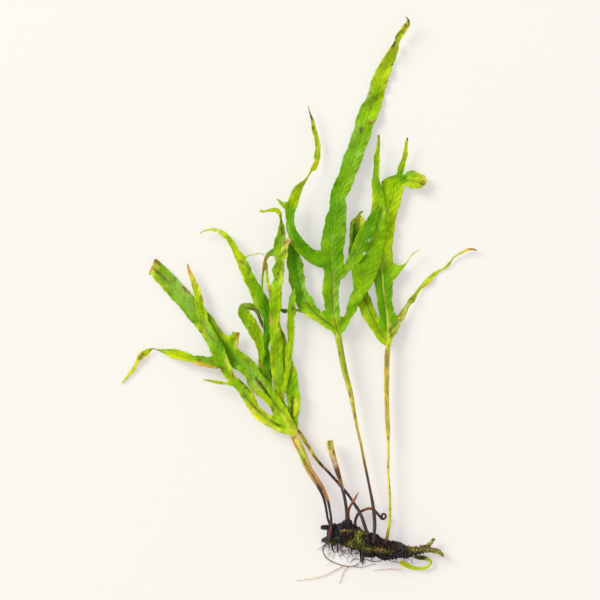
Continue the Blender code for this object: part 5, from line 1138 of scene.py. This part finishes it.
def relief(at, offset, share, half, rippling, seed):
    """Heights of a lobe's surface over its plain sheet, in metres.

    A rib of bell section along the middle in a shallow trough, edges that wave as a sine whose phase
    differs between the two sides, slow swells along the lobe, and pads between slanting side veins.
    """
    size = np.minimum(half / FULL_RELIEF, 1)[:, None]
    run = at[:, None]
    rib = RIB_HEIGHT * bell(offset, RIB_WIDTH) - TROUGH_DEPTH * bell(offset, TROUGH_WIDTH)
    side = np.where(share > 0, 0, FAR_SIDE_PHASE)
    turn = run / WAVE_LENGTH + side + seed + WAVE_DRIFT * np.sin(run / DRIFT_LENGTH + 2 * side + seed)
    edge = EDGE_WAVE * np.abs(share) ** EDGE_POWER * np.sin(turn)
    swell = SWELL * np.sin(run / SWELL_LENGTH + 2 * share + seed * SWELL_PHASE)
    slant = run - VEIN_SLANT * np.abs(offset)
    pads = PAD_HEIGHT * np.abs(np.sin(np.pi * slant / VEIN_SPACING)) * (1 - bell(offset, PAD_ONSET))
    return size * (rib + pads + rippling * (edge + swell))


def ragged(at, half, across, seed):
    """How far the edges stray from their plain outline, in metres.

    Each side has its own sum of three sines along the lobe, which grows with the square of the share
    across.
    """
    side = np.where(across > 0, 0.0, RAGGED_PHASE)[None, :] + seed * RAGGED_SEED_PHASE
    run = at[:, None] / RAGGED_LENGTH
    stray = sum(size * np.sin(turns * run + phase * side) for size, turns, phase in RAGGED_SINES)
    size = np.minimum(RAGGED_SIZE, RAGGED_SHARE * half)[:, None] * ease(at / RAGGED_ONSET)[:, None]
    return size * stray * np.abs(across[None, :]) ** 2


def lobe_grid(lobe, stops, first=None, rippling=0, seed=0):
    """The lobe's corners as rows from base to tip, each from left to right.

    Without a first row the lobe stands alone. With one, the rows fan out from that row, which is a
    stretch of the parent's edge, and turn square to the spine within about that row's length.
    """
    at, middle, half, left, tilt = lobe_rows(lobe, stops)
    columns = MAIN_COLUMNS if first is None else len(first) - 1
    across = np.linspace(1, -1, columns + 1)
    if first is not None:
        span = first[0, :2] - first[-1, :2]
        reach = np.linalg.norm(span) / 2
        before = np.arctan2(left[:, 1], left[:, 0])
        swing = (np.arctan2(span[1], span[0]) - before + np.pi) % (2 * np.pi) - np.pi
        swing *= 1 - ease(at / (FAN_SHARE * reach))
        angle = before + swing
        left = np.column_stack([np.cos(angle), np.sin(angle)])
        settled = ease(at / (WIDTH_SHARE * reach))
        half = (1 - settled) * reach + settled * half / np.maximum(np.cos(swing), LEAST_COSINE)
    offset = half[:, None] * across[None, :] + np.sign(across)[None, :] * ragged(at, half, across, seed)
    grid = np.empty((len(at), columns + 1, 3))
    grid[:, :, :2] = middle[:, None, :2] + left[:, None, :] * offset[:, :, None]
    grid[:, :, 2] = middle[:, None, 2] + (tilt * half)[:, None] * across[None, :]
    grid[:, :, 2] += relief(at, offset, across[None, :], half, rippling, seed)
    kept = np.zeros(len(at))
    if first is not None:
        kept = 1 - ease(at / (FAN_SHARE * reach))
        grid += kept[:, None, None] * (first - grid[0])[None, :, :]
    grid[1:, :, 2] = np.maximum(grid[1:, :, 2], LOWEST_SHEET)
    return at, offset, across, kept, grid


def base_on(grid, base):
    """Which edge of the grid the base lies on, as 0 or -1, and the rows nearest to its ends, in order."""
    ends = np.column_stack(place(*np.array(base, float).T))
    found = []
    for column in (0, -1):
        apart = np.linalg.norm(grid[:, None, column, :2] - ends, axis=2)
        rows = apart.argmin(axis=0)
        found.append((apart.min(axis=0).sum(), column, rows.min(), rows.max()))
    return min(found)[1:]


def frond_sheet(lobes):
    """A frond's sheet, whose side lobes share corners with the edges they grow from.

    Returns corners, faces, each face corner's (distance along, distance across) in millimetres and
    (share across, lobe number), and each corner's colour.
    """
    stops = [[] for _ in lobes]
    for parent, lobe in lobes:
        if parent is not None:
            whole = lobes[parent][1]
            length = smooth_line(whole["spine"], whole["heights"])[0][-1]
            at, _, _, _, grid = lobe_grid(whole, np.linspace(0, length, SEARCH_ROWS))
            _, start, end = base_on(grid, lobe["base"])
            stops[parent] += [at[start], at[end]]
    grids, numbers, faces, lengths, shares = [], [], [], [], []
    corners = np.empty((0, 3))
    colours = np.empty((0, 3))
    for number, (parent, lobe) in enumerate(lobes):
        first = None
        if parent is not None:
            column, start, end = base_on(grids[parent], lobe["base"])
            shared = numbers[parent][start:end + 1, column]
            shared = shared[::-1] if column == -1 else shared
            first = corners[shared]
        at, offset, across, kept, grid = lobe_grid(lobe, stops[number], first, lobe.get("ripples", 1), number)
        colour = sheet_tints(lobe["tints"], at / at[-1], across)
        if first is not None:
            colour += kept[:, None, None] * (colours[shared] - colour[0])[None, :, :]
        fresh = grid if first is None else grid[1:]
        own = np.arange(fresh.shape[0] * fresh.shape[1]).reshape(fresh.shape[:2]) + len(corners)
        own = own if first is None else np.vstack([shared, own])
        corners = np.vstack([corners, fresh.reshape(-1, 3)])
        colours = np.vstack([colours, colour[-len(fresh):].reshape(-1, 3)])
        grids.append(grid)
        numbers.append(own)
        faces.append(quads_of(own))
        millimetres = np.dstack([np.repeat(at[:, None], len(across), axis=1), offset]) * 1000
        wide = np.repeat(across[None, :], len(at), axis=0)
        lengths.append(quads_of(millimetres))
        shares.append(quads_of(np.dstack([wide, np.full(offset.shape, number)])))
    return corners, np.concatenate(faces), np.concatenate(lengths), np.concatenate(shares), colours


def quads_of(grid):
    """The four corners' values of each cell of a grid, seen anticlockwise from the sheet's upper side."""
    cells = [grid[:-1, :-1], grid[:-1, 1:], grid[1:, 1:], grid[1:, :-1]]
    return np.stack(cells, axis=2).reshape(-1, 4, *grid.shape[2:])


def stroked(corners, colours, strokes):
    """The colours with strokes laid over them.

    Each fades as a bell curve of the distance from its line, which noise makes uneven, so that a stroke's
    edge is ragged.
    """
    x, y = corners[:, 0] / PIXEL + MIDDLE[0], MIDDLE[1] - corners[:, 1] / PIXEL
    spot = np.column_stack([x, y])
    uneven = 1 + STROKE_NOISE * ripple(corners, STROKE_NOISE_LENGTH, STROKE_SEED)
    for tone, width, strength, *line in strokes:
        line = np.reshape(line, (-1, 2))
        from_line = np.full(len(spot), np.inf)
        for start, end in zip(line[:-1], line[1:]):
            along = end - start
            share = np.clip((spot - start) @ along / (along @ along), 0, 1)
            apart = np.linalg.norm(spot - start - share[:, None] * along, axis=1)
            from_line = np.minimum(from_line, apart)
        cover = strength * bell(from_line * uneven / width, STROKE_SPREAD)
        colours = colours + cover[:, None] * (tint(tone) - colours)
    return colours


def add_piece(name, corners, faces, colours, material, replaced):
    """A mesh object of the corners and faces with a colour at each corner, which rides on the plant."""
    mesh = bpy.data.meshes.new(name)
    mesh.from_pydata(corners, [], faces)
    mesh.update()
    attribute = mesh.color_attributes.new("tint", "FLOAT_COLOR", "POINT")
    with_alpha = np.column_stack([np.clip(colours, 0, 1), np.ones(len(colours))])
    attribute.data.foreach_set("color", with_alpha.astype(np.float32).ravel())
    mesh.materials.append(material)
    mesh.shade_smooth()
    piece = bpy.data.objects.new(name, mesh)
    bpy.context.scene.collection.objects.link(piece)
    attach(piece, "root")
    if replaced:
        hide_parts(*replaced)
    return piece


def add_blade(name, lobes, strokes, material):
    """A frond's blade, as a sheet with a leaf's thickness."""
    corners, faces, lengths, shares, colours = frond_sheet(lobes)
    colours = stroked(corners, colours, strokes)
    blade = add_piece(name + "_leaf", corners, faces.tolist(), colours, material, [name])
    for layer, values in (("length", lengths), ("share", shares)):
        uv = blade.data.uv_layers.new(name=layer)
        uv.data.foreach_set("uv", values.astype(np.float32).ravel())
    wall = blade.modifiers.new("leaf thickness", "SOLIDIFY")
    wall.thickness = LEAF_THICKNESS
    wall.offset = 0


def tube(points, radii, sides, cut):
    """Rings round a path: each ring lies square to the path's slope, and the ends are rounded or cut flat.

    Returns the rings as a grid of corners, and their grain: millimetres along, and across both ways.
    """
    start, end = points[0] - points[1], points[-1] - points[-2]
    start, end = start / np.linalg.norm(start), end / np.linalg.norm(end)
    bend = np.sin(np.radians(ROUNDING))[:, None]
    shrink = np.cos(np.radians(ROUNDING))
    onset = start * radii[0] * bend[::-1]
    closing = shrink[::-1] * radii[0]
    if cut:
        onset = onset * CUT_BULGE
        closing = radii[0] * np.linspace(*CUT_RINGS, len(ROUNDING))
    points = np.vstack([points[0] + onset, points, points[-1] + end * radii[-1] * bend])
    radii = np.concatenate([closing, radii, radii[-1] * shrink])
    slope = np.gradient(points, axis=0)
    slope /= np.linalg.norm(slope, axis=1)[:, None]
    side = np.cross(slope, (0, 0, 1))
    side /= np.linalg.norm(side, axis=1)[:, None]
    upward = np.cross(side, slope)
    turn = np.arange(sides) * 2 * np.pi / sides
    out = side[:, None, :] * np.cos(turn)[None, :, None] + upward[:, None, :] * np.sin(turn)[None, :, None]
    steps = np.linalg.norm(np.diff(points, axis=0), axis=1)
    along = np.concatenate([[0], np.cumsum(steps)])
    return points[:, None, :] + out * radii[:, None, None], grain_of(along, radii[:, None], turn)


def grain_of(along, reach, turn):
    """Each corner's place on a round piece in millimetres: along it, and both ways across it."""
    across = np.stack([reach * np.cos(turn), reach * np.sin(turn)], axis=-1)
    along = np.broadcast_to(along[:, None, None], (*across.shape[:2], 1))
    return np.concatenate([along, across], axis=-1) * 1000


def ring_faces(count, sides, start=0):
    """Faces between rings of corners, and one at each end."""
    number = np.arange(count * sides).reshape(count, sides) + start
    beside = np.roll(number, -1, axis=1)
    quads = np.stack([number[:-1], beside[:-1], beside[1:], number[1:]], axis=-1).reshape(-1, 4)
    return quads.tolist() + [number[0][::-1].tolist(), number[-1].tolist()]


def line_points(line, heights, spacing=TUBE_SPACING):
    """Points and radii along a line of (x, y, width) pixels."""
    fine, path, width = smooth_line(line, heights)
    at = np.linspace(0, fine[-1], max(LEAST_RINGS, round(fine[-1] / spacing) + 1))
    return read_at(fine, path, at), np.interp(at, fine, width) / 2


def thin_line(line, radius, heights, taper):
    """Points and radii of a root or a hair along a line of (x, y) pixels, whose radius changes evenly."""
    points, radii = line_points([(x, y, 2 * radius / PIXEL) for x, y in line], heights, ROOT_SPACING)
    return points, radii * np.linspace(*taper, len(radii))


def tube_shapes(tubes, unevenness=0, total=0):
    """Several tubes as one set of corners, faces, colours and grain, with a total of corners before them.

    Each tube is given as points, radii, tints, sides and whether its start is cut flat. Unevenness is a
    share of the radius, by which noise moves the skin in and out.
    """
    corners, faces, colours, grains = [], [], [], []
    for points, radii, tints, sides, cut in tubes:
        rings, grain = tube(points, radii, sides, cut)
        if unevenness:
            centre = rings.mean(axis=1)[:, None, :]
            swelling = 1 + unevenness * ripple(rings, UNEVEN_LENGTH, UNEVEN_SEED)
            rings = centre + (rings - centre) * swelling[:, :, None]
        faces += ring_faces(len(rings), sides, total)
        total += rings.shape[0] * sides
        corners.append(rings.reshape(-1, 3))
        along = grain[:, 0, 0] / grain[-1, 0, 0]
        colours.append(np.repeat(tinted(tints, along), sides, axis=0))
        grains.append(grain.reshape(-1, 3))
    return np.concatenate(corners), faces, np.concatenate(colours), np.concatenate(grains)


def add_round(name, node, shapes, material, strokes=()):
    """A round piece in the node's place, no lower than the surface, with its grain."""
    corners, faces, colours, grains = shapes
    corners[:, 2] = np.maximum(corners[:, 2], 0)
    colours = stroked(corners, colours, strokes)
    piece = add_piece(name, corners, faces, colours, material, [node] if node else ())
    grain = piece.data.attributes.new("grain", "FLOAT_VECTOR", "POINT")
    grain.data.foreach_set("vector", grains.astype(np.float32).ravel())


def add_stem(name, stem, material):
    """A frond's petiole, whose top end runs on under its blade's base and whose foot lies on the rhizome."""
    line = stem["line"]
    cut = name == "cut_stem"
    if not cut and name != "young_spike":
        first, second = np.array(line[0], float), np.array(line[1], float)
        back = (first - second)[:2] / np.linalg.norm((first - second)[:2])
        line = ((*(first[:2] + back * STEM_OVERLAP), first[2] * STEM_TOP_SHARE), *line)
    points, radii = line_points(line, stem["heights"])
    shapes = tube_shapes([(points, radii, stem["tints"], STEM_SIDES, cut)], STEM_UNEVENNESS)
    add_round(name + "_skin", name, shapes, material, stem.get("strokes", ()))


def add_fiddlehead(material):
    """The coiled young frond: its line, then a spiral that winds in on the coil's centre."""
    fine, path, width = smooth_line(FIDDLEHEAD_LINE, FIDDLEHEAD_HEIGHTS)
    at = np.linspace(0, fine[-1], FIDDLEHEAD_POINTS)
    angles = np.radians(COIL_START + np.linspace(0, COIL_SWEEP, COIL_POINTS))
    radius = np.linspace(COIL_RADIUS, COIL_INNER_RADIUS, COIL_POINTS)
    x, y = place(*COIL_CENTRE)
    height = np.full(COIL_POINTS, path[-1, 2])
    coil = np.column_stack([x + radius * np.cos(angles), y + radius * np.sin(angles), height])
    coil_radii = np.linspace(*COIL_TUBE_RADII, COIL_POINTS)
    radii = np.concatenate([np.interp(at, fine, width) / 2, coil_radii[1:]])
    points = np.vstack([read_at(fine, path, at), coil[1:]])
    shapes = tube_shapes([(points, radii, FIDDLEHEAD_TINTS, STEM_SIDES, False)], STEM_UNEVENNESS)
    add_round("fiddlehead_skin", "fiddlehead", shapes, material)


def rhizome_skin():
    """The rhizome's skin: lumpy rings along its line with knobs, roughened by noise.

    Returns the rings as a grid of corners and their grain.
    """
    line = [(x, y, 2 * radius) for x, y, radius in RHIZOME_LINE]
    fine, path, width = smooth_line(line, ((0, RHIZOME_HEIGHT * 1000), (1, RHIZOME_HEIGHT * 1000)))
    at = np.linspace(0, fine[-1], round(fine[-1] / BARK_SPACING) + 1)
    middle = read_at(fine, path, at)
    left = sideways(fine, path, at)
    closing = ease(at / END_LENGTH) * ease((at[-1] - at) / END_LENGTH)
    radius = np.interp(at, fine, width) / 2 * np.sqrt(closing * (1 - LEAST_END) + LEAST_END)
    around = np.arange(BARK_SIDES) * 2 * np.pi / BARK_SIDES
    turn, along = np.meshgrid(around, at / LUMP_LENGTH)
    lumps = 1
    for size, turns, drift, phase in LUMPS:
        lumps = lumps + size * np.sin(turns * turn + drift * along + phase)
    out = np.dstack([left[:, None, 0] * np.cos(turn), left[:, None, 1] * np.cos(turn), np.sin(turn)])
    reach = radius[:, None] * lumps
    skin = middle[:, None, :] + out * reach[:, :, None]
    for x, y, height, spread, swelling in KNOBS:
        centre = np.array([*place(x, y), height / 1000])
        apart = np.linalg.norm(skin - centre, axis=2)
        reach = reach + swelling / 1000 * bell(apart / spread * 1000, 1)
    skin = middle[:, None, :] + out * reach[:, :, None]
    coarse, fine_grain = ripple(skin, COARSE_LENGTH, BARK_SEED), ripple(skin, FINE_LENGTH, BARK_SEED + 1)
    furrows = bell(np.abs(ripple(skin, FURROW_LENGTH, BARK_SEED + 2)), FURROW_WIDTH)
    reach = reach + COARSE_BARK * coarse + FINE_BARK * fine_grain - FURROW_DEPTH * furrows
    return middle[:, None, :] + out * reach[:, :, None], grain_of(at, reach, turn)


def add_rhizome(material):
    """The rhizome with its stubs, tips and short roots as one piece."""
    rings, grain = rhizome_skin()
    skin = rings.reshape(-1, 3)
    # Painted highlight: the near black bark goes over to blue-grey in cloudy blotches.
    blue_highlight_share = ease(0.5 * ripple(skin, BLUE_HIGHLIGHT_LENGTH, BLUE_HIGHLIGHT_SEED))
    colours = tint("bark") + (tint("painted_blue_highlight") - tint("bark")) * blue_highlight_share[:, None]
    tubes = []
    for height, tints, line in STUBS:
        points, radii = line_points(line, ((0, height), (1, height)), STUB_SPACING)
        tubes.append((points, radii, tints, STUB_SIDES, False))
    for line in SHORT_ROOTS:
        points, radii = line_points(line, SHORT_ROOT_HEIGHTS, STUB_SPACING)
        tubes.append((points, radii, SHORT_ROOT_TINTS, SHORT_ROOT_SIDES, False))
    more, more_faces, more_colours, more_grain = tube_shapes(tubes, STUB_UNEVENNESS, len(skin))
    shapes = (
        np.concatenate([skin, more]),
        ring_faces(len(rings), BARK_SIDES) + more_faces,
        np.concatenate([colours, more_colours]),
        np.concatenate([grain.reshape(-1, 3), more_grain]),
    )
    add_round("rhizome_bark", "rhizome", shapes, material, RHIZOME_STROKES)


def add_roots(material):
    """The long roots, each with its branches, thinner towards their ends."""
    for name, branches in ROOTS.items():
        tubes = []
        for number, (radius, tints, line) in enumerate(branches):
            points, radii = thin_line(line, radius, BRANCH_HEIGHTS if number else ROOT_HEIGHTS, ROOT_TAPER)
            tubes.append((points, radii, tints, ROOT_SIDES, False))
        add_round(name + "_skin", name, tube_shapes(tubes, ROOT_UNEVENNESS), material)


def hair_tubes(lines, kind):
    """Fine hairs of one kind along lines of (x, y) pixels, which sink from a first height to the surface."""
    radius, height, tints = kind
    heights = ((0, height), (0.5, 0.5), (1, 0.2))
    return [(*thin_line(line, radius, heights, HAIR_TAPER), tints, HAIR_SIDES, False) for line in lines]


def add_root_hairs(material):
    """The hairs read from the plant, and tufts of finer ones along the rhizome's underside.

    A tuft's hair starts on the rhizome's line, leans by a random angle and bows twice to either side.
    """
    tubes = hair_tubes(DARK_HAIRS, DARK_HAIR) + hair_tubes(PALE_HAIRS, PALE_HAIR)
    random = np.random.RandomState(TUFT_SEED)
    stations = np.array([(x, y) for x, y, _ in RHIZOME_LINE], float)
    hairs = [
        (random.uniform(*where), random.uniform(*length), bow)
        for count, where, length, bow in TUFTS
        for _ in range(count)
    ]
    for start, length, bow in hairs:
        at = start * (len(stations) - 1)
        root = np.array([np.interp(at, np.arange(len(stations)), column) for column in stations.T])
        lean = random.uniform(-TUFT_LEAN, TUFT_LEAN)
        bows = random.uniform(-bow, bow, 2)
        ahead = np.array((np.sin(lean), np.cos(lean)))
        across = np.array((np.cos(lean), -np.sin(lean)))
        bends = ((0, 0), (0.6, bows[0]), (0.85, bows[1]), (1, bows.sum()))
        line = [root + ahead * length * share + across * aside for share, aside in bends]
        tubes += hair_tubes([line], TUFT_HAIR)
    add_round("root_hairs", None, tube_shapes(tubes), material)


class Wire:
    """A socket of the material in the making, with arithmetic: each step adds a Math node."""

    def __init__(self, looks, socket):
        self.looks = looks
        self.socket = socket

    def maths(self, operation, first, second=0):
        """A Math node of the operation on two values or wires."""
        return self.looks.node("ShaderNodeMath", {"operation": operation}, {0: first, 1: second})

    def __add__(self, other):
        return self.maths("ADD", self, other)

    def __radd__(self, other):
        return self.maths("ADD", other, self)

    def __sub__(self, other):
        return self.maths("SUBTRACT", self, other)

    def __rsub__(self, other):
        return self.maths("SUBTRACT", other, self)

    def __mul__(self, other):
        return self.maths("MULTIPLY", self, other)

    def __rmul__(self, other):
        return self.maths("MULTIPLY", other, self)

    def __truediv__(self, other):
        return self.maths("DIVIDE", self, other)

    def __rtruediv__(self, other):
        return self.maths("DIVIDE", other, self)

    def sine(self):
        """The sine of the value in radians."""
        return self.maths("SINE", self)

    def size(self):
        """The value without its sign."""
        return self.maths("ABSOLUTE", self)

    def most(self, other):
        """The larger of the two."""
        return self.maths("MAXIMUM", self, other)

    def rise(self, low, high):
        """0 up to the low value, 1 from the high one on, and smooth between them."""
        inputs = {"Value": self, "From Min": low, "From Max": high}
        return self.looks.node("ShaderNodeMapRange", {"interpolation_type": "SMOOTHSTEP"}, inputs)


class Looks:
    """A material with one Principled shader and the nodes that feed it."""

    def __init__(self, name, **plain):
        self.material = bpy.data.materials.new(name)
        self.material.use_nodes = True
        self.tree = self.material.node_tree
        self.shader = self.tree.nodes["Principled BSDF"]
        self.finish(**plain)

    def feed(self, socket, value):
        """Links a wire to the socket, or sets the socket's value."""
        if isinstance(value, Wire):
            self.tree.links.new(value.socket, socket)
        else:
            socket.default_value = value

    def node(self, kind, settings, inputs, output=0):
        """A node of the kind, its settings made first, and the values or wires of its sockets."""
        node = self.tree.nodes.new(kind)
        for name, value in settings.items():
            setattr(node, name, value)
        for name, value in inputs.items():
            self.feed(node.inputs[name], value)
        return Wire(self, node.outputs[output])

    def place(self):
        """The place on the object, in metres."""
        return self.node("ShaderNodeTexCoord", {}, {}, "Object")

    def tint(self):
        """The colour that is laid on the corners."""
        return self.node("ShaderNodeAttribute", {"attribute_name": "tint"}, {}, "Color")

    def grain(self, scale):
        """The place along and across a tube in millimetres, each part multiplied by its own number."""
        grain = self.node("ShaderNodeAttribute", {"attribute_name": "grain"}, {}, "Vector")
        return self.node("ShaderNodeVectorMath", {"operation": "MULTIPLY"}, {0: grain, 1: scale})

    def layer(self, name):
        """Both values of a UV map, as two wires."""
        pair = self.node("ShaderNodeUVMap", {"uv_map": name}, {})
        split = self.node("ShaderNodeSeparateXYZ", {}, {"Vector": pair})
        return split, Wire(self, split.socket.node.outputs[1])

    def noise(self, vector, scale, detail=2, roughness=0.5):
        """Cloudy noise from 0 to 1, with lumps of about one over the scale."""
        inputs = {"Vector": vector, "Scale": scale, "Detail": detail, "Roughness": roughness}
        return self.node("ShaderNodeTexNoise", {}, inputs)

    def cells(self, vector, scale):
        """The distance to the nearest edge between cells of about one over the scale."""
        settings = {"feature": "DISTANCE_TO_EDGE"}
        return self.node("ShaderNodeTexVoronoi", settings, {"Vector": vector, "Scale": scale})

    def blend(self, share, first, second, how="MIX"):
        """Two colours blended by the share of the second."""
        settings = {"data_type": "RGBA", "blend_type": how, "clamp_factor": True}
        return self.node("ShaderNodeMix", settings, {0: share, 6: first, 7: second}, 2)

    def toned(self, share, colour, name):
        """The colour blended by the share towards the named tint."""
        return self.blend(share, colour, (*tint(name), 1))

    def shaded(self, colour, light):
        """The colour times a light value around 1."""
        grey = self.node("ShaderNodeCombineColor", {}, {0: light, 1: light, 2: light})
        return self.blend(1.0, colour, grey, "MULTIPLY")

    def bump(self, height, distance, strength):
        """The normal of a surface raised by the height, which is 1 at the distance in metres."""
        inputs = {"Height": height, "Distance": distance, "Strength": strength}
        return self.node("ShaderNodeBump", {}, inputs)

    def finish(self, **values):
        """Feeds the shader's sockets with wires or values and returns the material."""
        for socket, value in values.items():
            self.feed(self.shader.inputs[socket.replace("_", " ")], value)
        return self.material


def leaf_looks():
    """Fern leaf: tinted green with a midrib, slanting veins, a fine net, streaks and a thin pale margin.

    Distances along, across and from the edge are in millimetres, and noise scales are lumps to a metre. A
    vein lies where the sine of the slanting distance along is near zero, and the net where cells meet. Pale
    grey-green blotches are painted highlights, and the trough beside the rib is darkened as painted shade.
    """
    looks = Looks("fern_leaf", IOR=1.45, Specular_IOR_Level=0.08, Coat_Roughness=0.25)
    along, across = looks.layer("length")
    share, lobe = looks.layer("share")
    place_on = looks.place()
    cloud = looks.noise(place_on, 140, 3) - 0.5
    highlight_and_tone_patches = looks.noise(place_on, 230, 3, 0.6)
    mottle = looks.noise(place_on, 560, 4, 0.65) - 0.5
    warp = looks.noise(place_on, 300) - 0.5
    away = across.size()
    edge = away / share.size().most(0.05) - away
    midrib = 1 - away.rise(0.08, 0.3)
    trough_shade = away.rise(0.12, 0.3) - away.rise(0.34, 0.75)
    slant = along - away * VEIN_SLANT + warp * 0.8
    wave = (slant * (np.pi / VEIN_SPACING / 1000)).sine().size()
    veins = (1 - wave.rise(0.0, 0.32)) * away.rise(0.3, 0.9)
    grained = looks.node("ShaderNodeCombineXYZ", {}, {"X": along * 0.13, "Y": across * 1.7, "Z": lobe})
    streaks = looks.noise(grained, 1.0, 3, 0.6) - 0.5
    net = 1 - looks.cells(place_on, 640).rise(0.02, 0.12)
    margin = 1 - edge.rise(0.05, 0.3)
    light = 1.23 + cloud * 0.4 + mottle * 0.7 + streaks * 0.8 + (wave - 0.6) * 0.06
    colour = looks.shaded(looks.tint(), light)
    # Painted highlight in pale grey-green blotches where this noise is high; the next line darkens, as tone,
    # where it is low.
    colour = looks.toned(highlight_and_tone_patches.rise(0.52, 0.7) * 0.2, colour, "sheen")
    colour = looks.toned((0.5 - highlight_and_tone_patches).rise(0.02, 0.2) * 0.45, colour, "deep")
    colour = looks.toned(veins * 0.12 + net * 0.08, colour, "shade")
    # Painted shade in the trough beside the rib.
    colour = looks.toned(trough_shade * 0.15, colour, "shade")
    colour = looks.toned(margin * 0.35, colour, "lime")
    height = midrib * 0.6 + wave * 0.4 + streaks * 1.2 + mottle * 1.2 - net * 0.4
    return looks.finish(
        Base_Color=colour,
        Roughness=0.38 + mottle * 0.5,
        Coat_Weight=looks.noise(place_on, 330).rise(0.58, 0.7) * 0.15,
        Normal=looks.bump(height, 0.0002, 0.4),
    )


def stem_looks():
    """Petiole skin: tinted, with brown streaks and flecks, both noise that is drawn out along the tube."""
    looks = Looks("petiole_skin", IOR=1.45, Specular_IOR_Level=0.35)
    streaks = looks.noise(looks.grain((0.16, 2.0, 2.0)), 1.0, 3, 0.6) - 0.5
    flecks = looks.noise(looks.grain((0.9, 1.8, 1.8)), 1.0, 4, 0.65) - 0.5
    colour = looks.shaded(looks.tint(), 1.0 + streaks * 1.2 + flecks * 0.9)
    colour = looks.toned(flecks.rise(0.06, 0.2) * 0.4, colour, "rust")
    colour = looks.toned((0 - streaks).rise(0.02, 0.2) * 0.5, colour, "umber")
    return looks.finish(
        Base_Color=colour,
        Roughness=0.36 + flecks * 0.4,
        Normal=looks.bump(streaks + flecks * 0.5, 0.0003, 0.8),
    )


def bark_looks():
    """Rhizome bark: near black, scaly and damp, with painted highlights in blue-grey blotches and pale dots.

    The scales are cells with dark edges, and the rest is noise, all of so many lumps to a metre.
    """
    looks = Looks("rhizome_bark", IOR=1.45, Specular_IOR_Level=0.22)
    place_on = looks.place()
    scales = looks.cells(place_on, 1100)
    lumps = looks.noise(place_on, 900, 5, 0.7)
    pits = looks.noise(place_on, 1500, 3, 0.6)
    cloud = looks.noise(place_on, 330, 3)
    highlight_dots = looks.noise(place_on, 1250, 3, 0.6)
    colour = looks.shaded(looks.tint(), 0.3 + 1.9 * lumps)
    # Painted highlight: blue-grey where the cloudy noise and the lumps are high.
    colour = looks.toned((cloud + lumps * 0.4).rise(0.68, 0.82) * 0.5, colour, "painted_blue_highlight")
    colour = looks.toned((1 - cloud).rise(0.54, 0.68) * 0.3, colour, "brown")
    colour = looks.toned(pits.rise(0.48, 0.56) * 0.65, colour, "soot")
    colour = looks.toned((1 - scales.rise(0.02, 0.1)) * 0.6, colour, "soot")
    # Painted highlight: small pale dots where the fine noise is high.
    colour = looks.toned(highlight_dots.rise(0.57, 0.66) * 0.5, colour, "ash")
    return looks.finish(
        Base_Color=colour,
        Roughness=0.3 + lumps * 0.35,
        Normal=looks.bump(scales.rise(0, 0.3) + lumps * 1.6, 0.0005, 1.0),
    )


def root_looks():
    """Root skin: tinted, with small light and dark bands, which are noise of the place along the tube."""
    looks = Looks("root_skin", IOR=1.4)
    bands = looks.noise(looks.grain((1.3, 1.5, 1.5)), 1.0, 3)
    return looks.finish(
        Base_Color=looks.shaded(looks.tint(), 0.6 + 0.8 * bands),
        Roughness=0.5 + bands * 0.2,
        Normal=looks.bump(bands, 0.0001, 0.8),
    )


def floor_looks():
    """Plain pale surface, which glows a little, as a lit sheet of white does, so that shadows stay pale."""
    looks = Looks("pale_surface", Roughness=0.8, Specular_IOR_Level=0.1, Base_Color=FLOOR_COLOUR)
    return looks.finish(Emission_Color=FLOOR_GLOW, Emission_Strength=1)


def add_floor():
    """A wide flat surface just under the plant."""
    signs = ((-1, -1), (1, -1), (1, 1), (-1, 1))
    corners = [(x * FLOOR_REACH, y * FLOOR_REACH, -FLOOR_DROP) for x, y in signs]
    mesh = bpy.data.meshes.new("pale_floor")
    mesh.from_pydata(corners, [], [(0, 1, 2, 3)])
    mesh.materials.append(floor_looks())
    floor = bpy.data.objects.new("pale_floor", mesh)
    bpy.context.scene.collection.objects.link(floor)


def add_light():
    """A large soft light to the upper left, which faces the plant, and an even pale surround."""
    lamp = bpy.data.lights.new("soft_window", "AREA")
    lamp.shape = "DISK"
    lamp.size = KEY_SIZE
    lamp.energy = KEY_POWER
    lamp.color = KEY_COLOUR
    key = bpy.data.objects.new("soft_window", lamp)
    bpy.context.scene.collection.objects.link(key)
    key.location = KEY_PLACE
    key.rotation_euler = (-key.location).to_track_quat("-Z", "Y").to_euler()
    world = bpy.data.worlds.new("studio")
    world.use_nodes = True
    surround = world.node_tree.nodes["Background"].inputs
    surround["Color"].default_value = SKY_COLOUR
    surround["Strength"].default_value = SKY_STRENGTH
    bpy.context.scene.world = world
    bpy.context.scene.view_settings.view_transform = "Standard"


def add_camera():
    """A long lens straight above, which sees the photograph's 600 pixels at the blades' height."""
    lens = bpy.data.cameras.new("from_above")
    lens.lens = LENS
    view = bpy.data.objects.new("from_above", lens)
    bpy.context.scene.collection.objects.link(view)
    across = PICTURE_SIZE * PIXEL
    x, y = place(PICTURE_SIZE / 2, PICTURE_SIZE / 2)
    view.location = (x, y, VIEW_HEIGHT + across * LENS / lens.sensor_width)
    bpy.context.scene.camera = view


def main():
    """Every piece of the plant, the surface under it, the light and the camera."""
    leaf, stem, bark, root = leaf_looks(), stem_looks(), bark_looks(), root_looks()
    for name, (strokes, *lobes) in BLADES.items():
        add_blade(name, lobes, strokes, leaf)
    for name, petiole in STEMS.items():
        add_stem(name, petiole, stem)
    add_fiddlehead(stem)
    add_rhizome(bark)
    add_roots(root)
    add_root_hairs(root)
    add_floor()
    add_light()
    add_camera()


main()
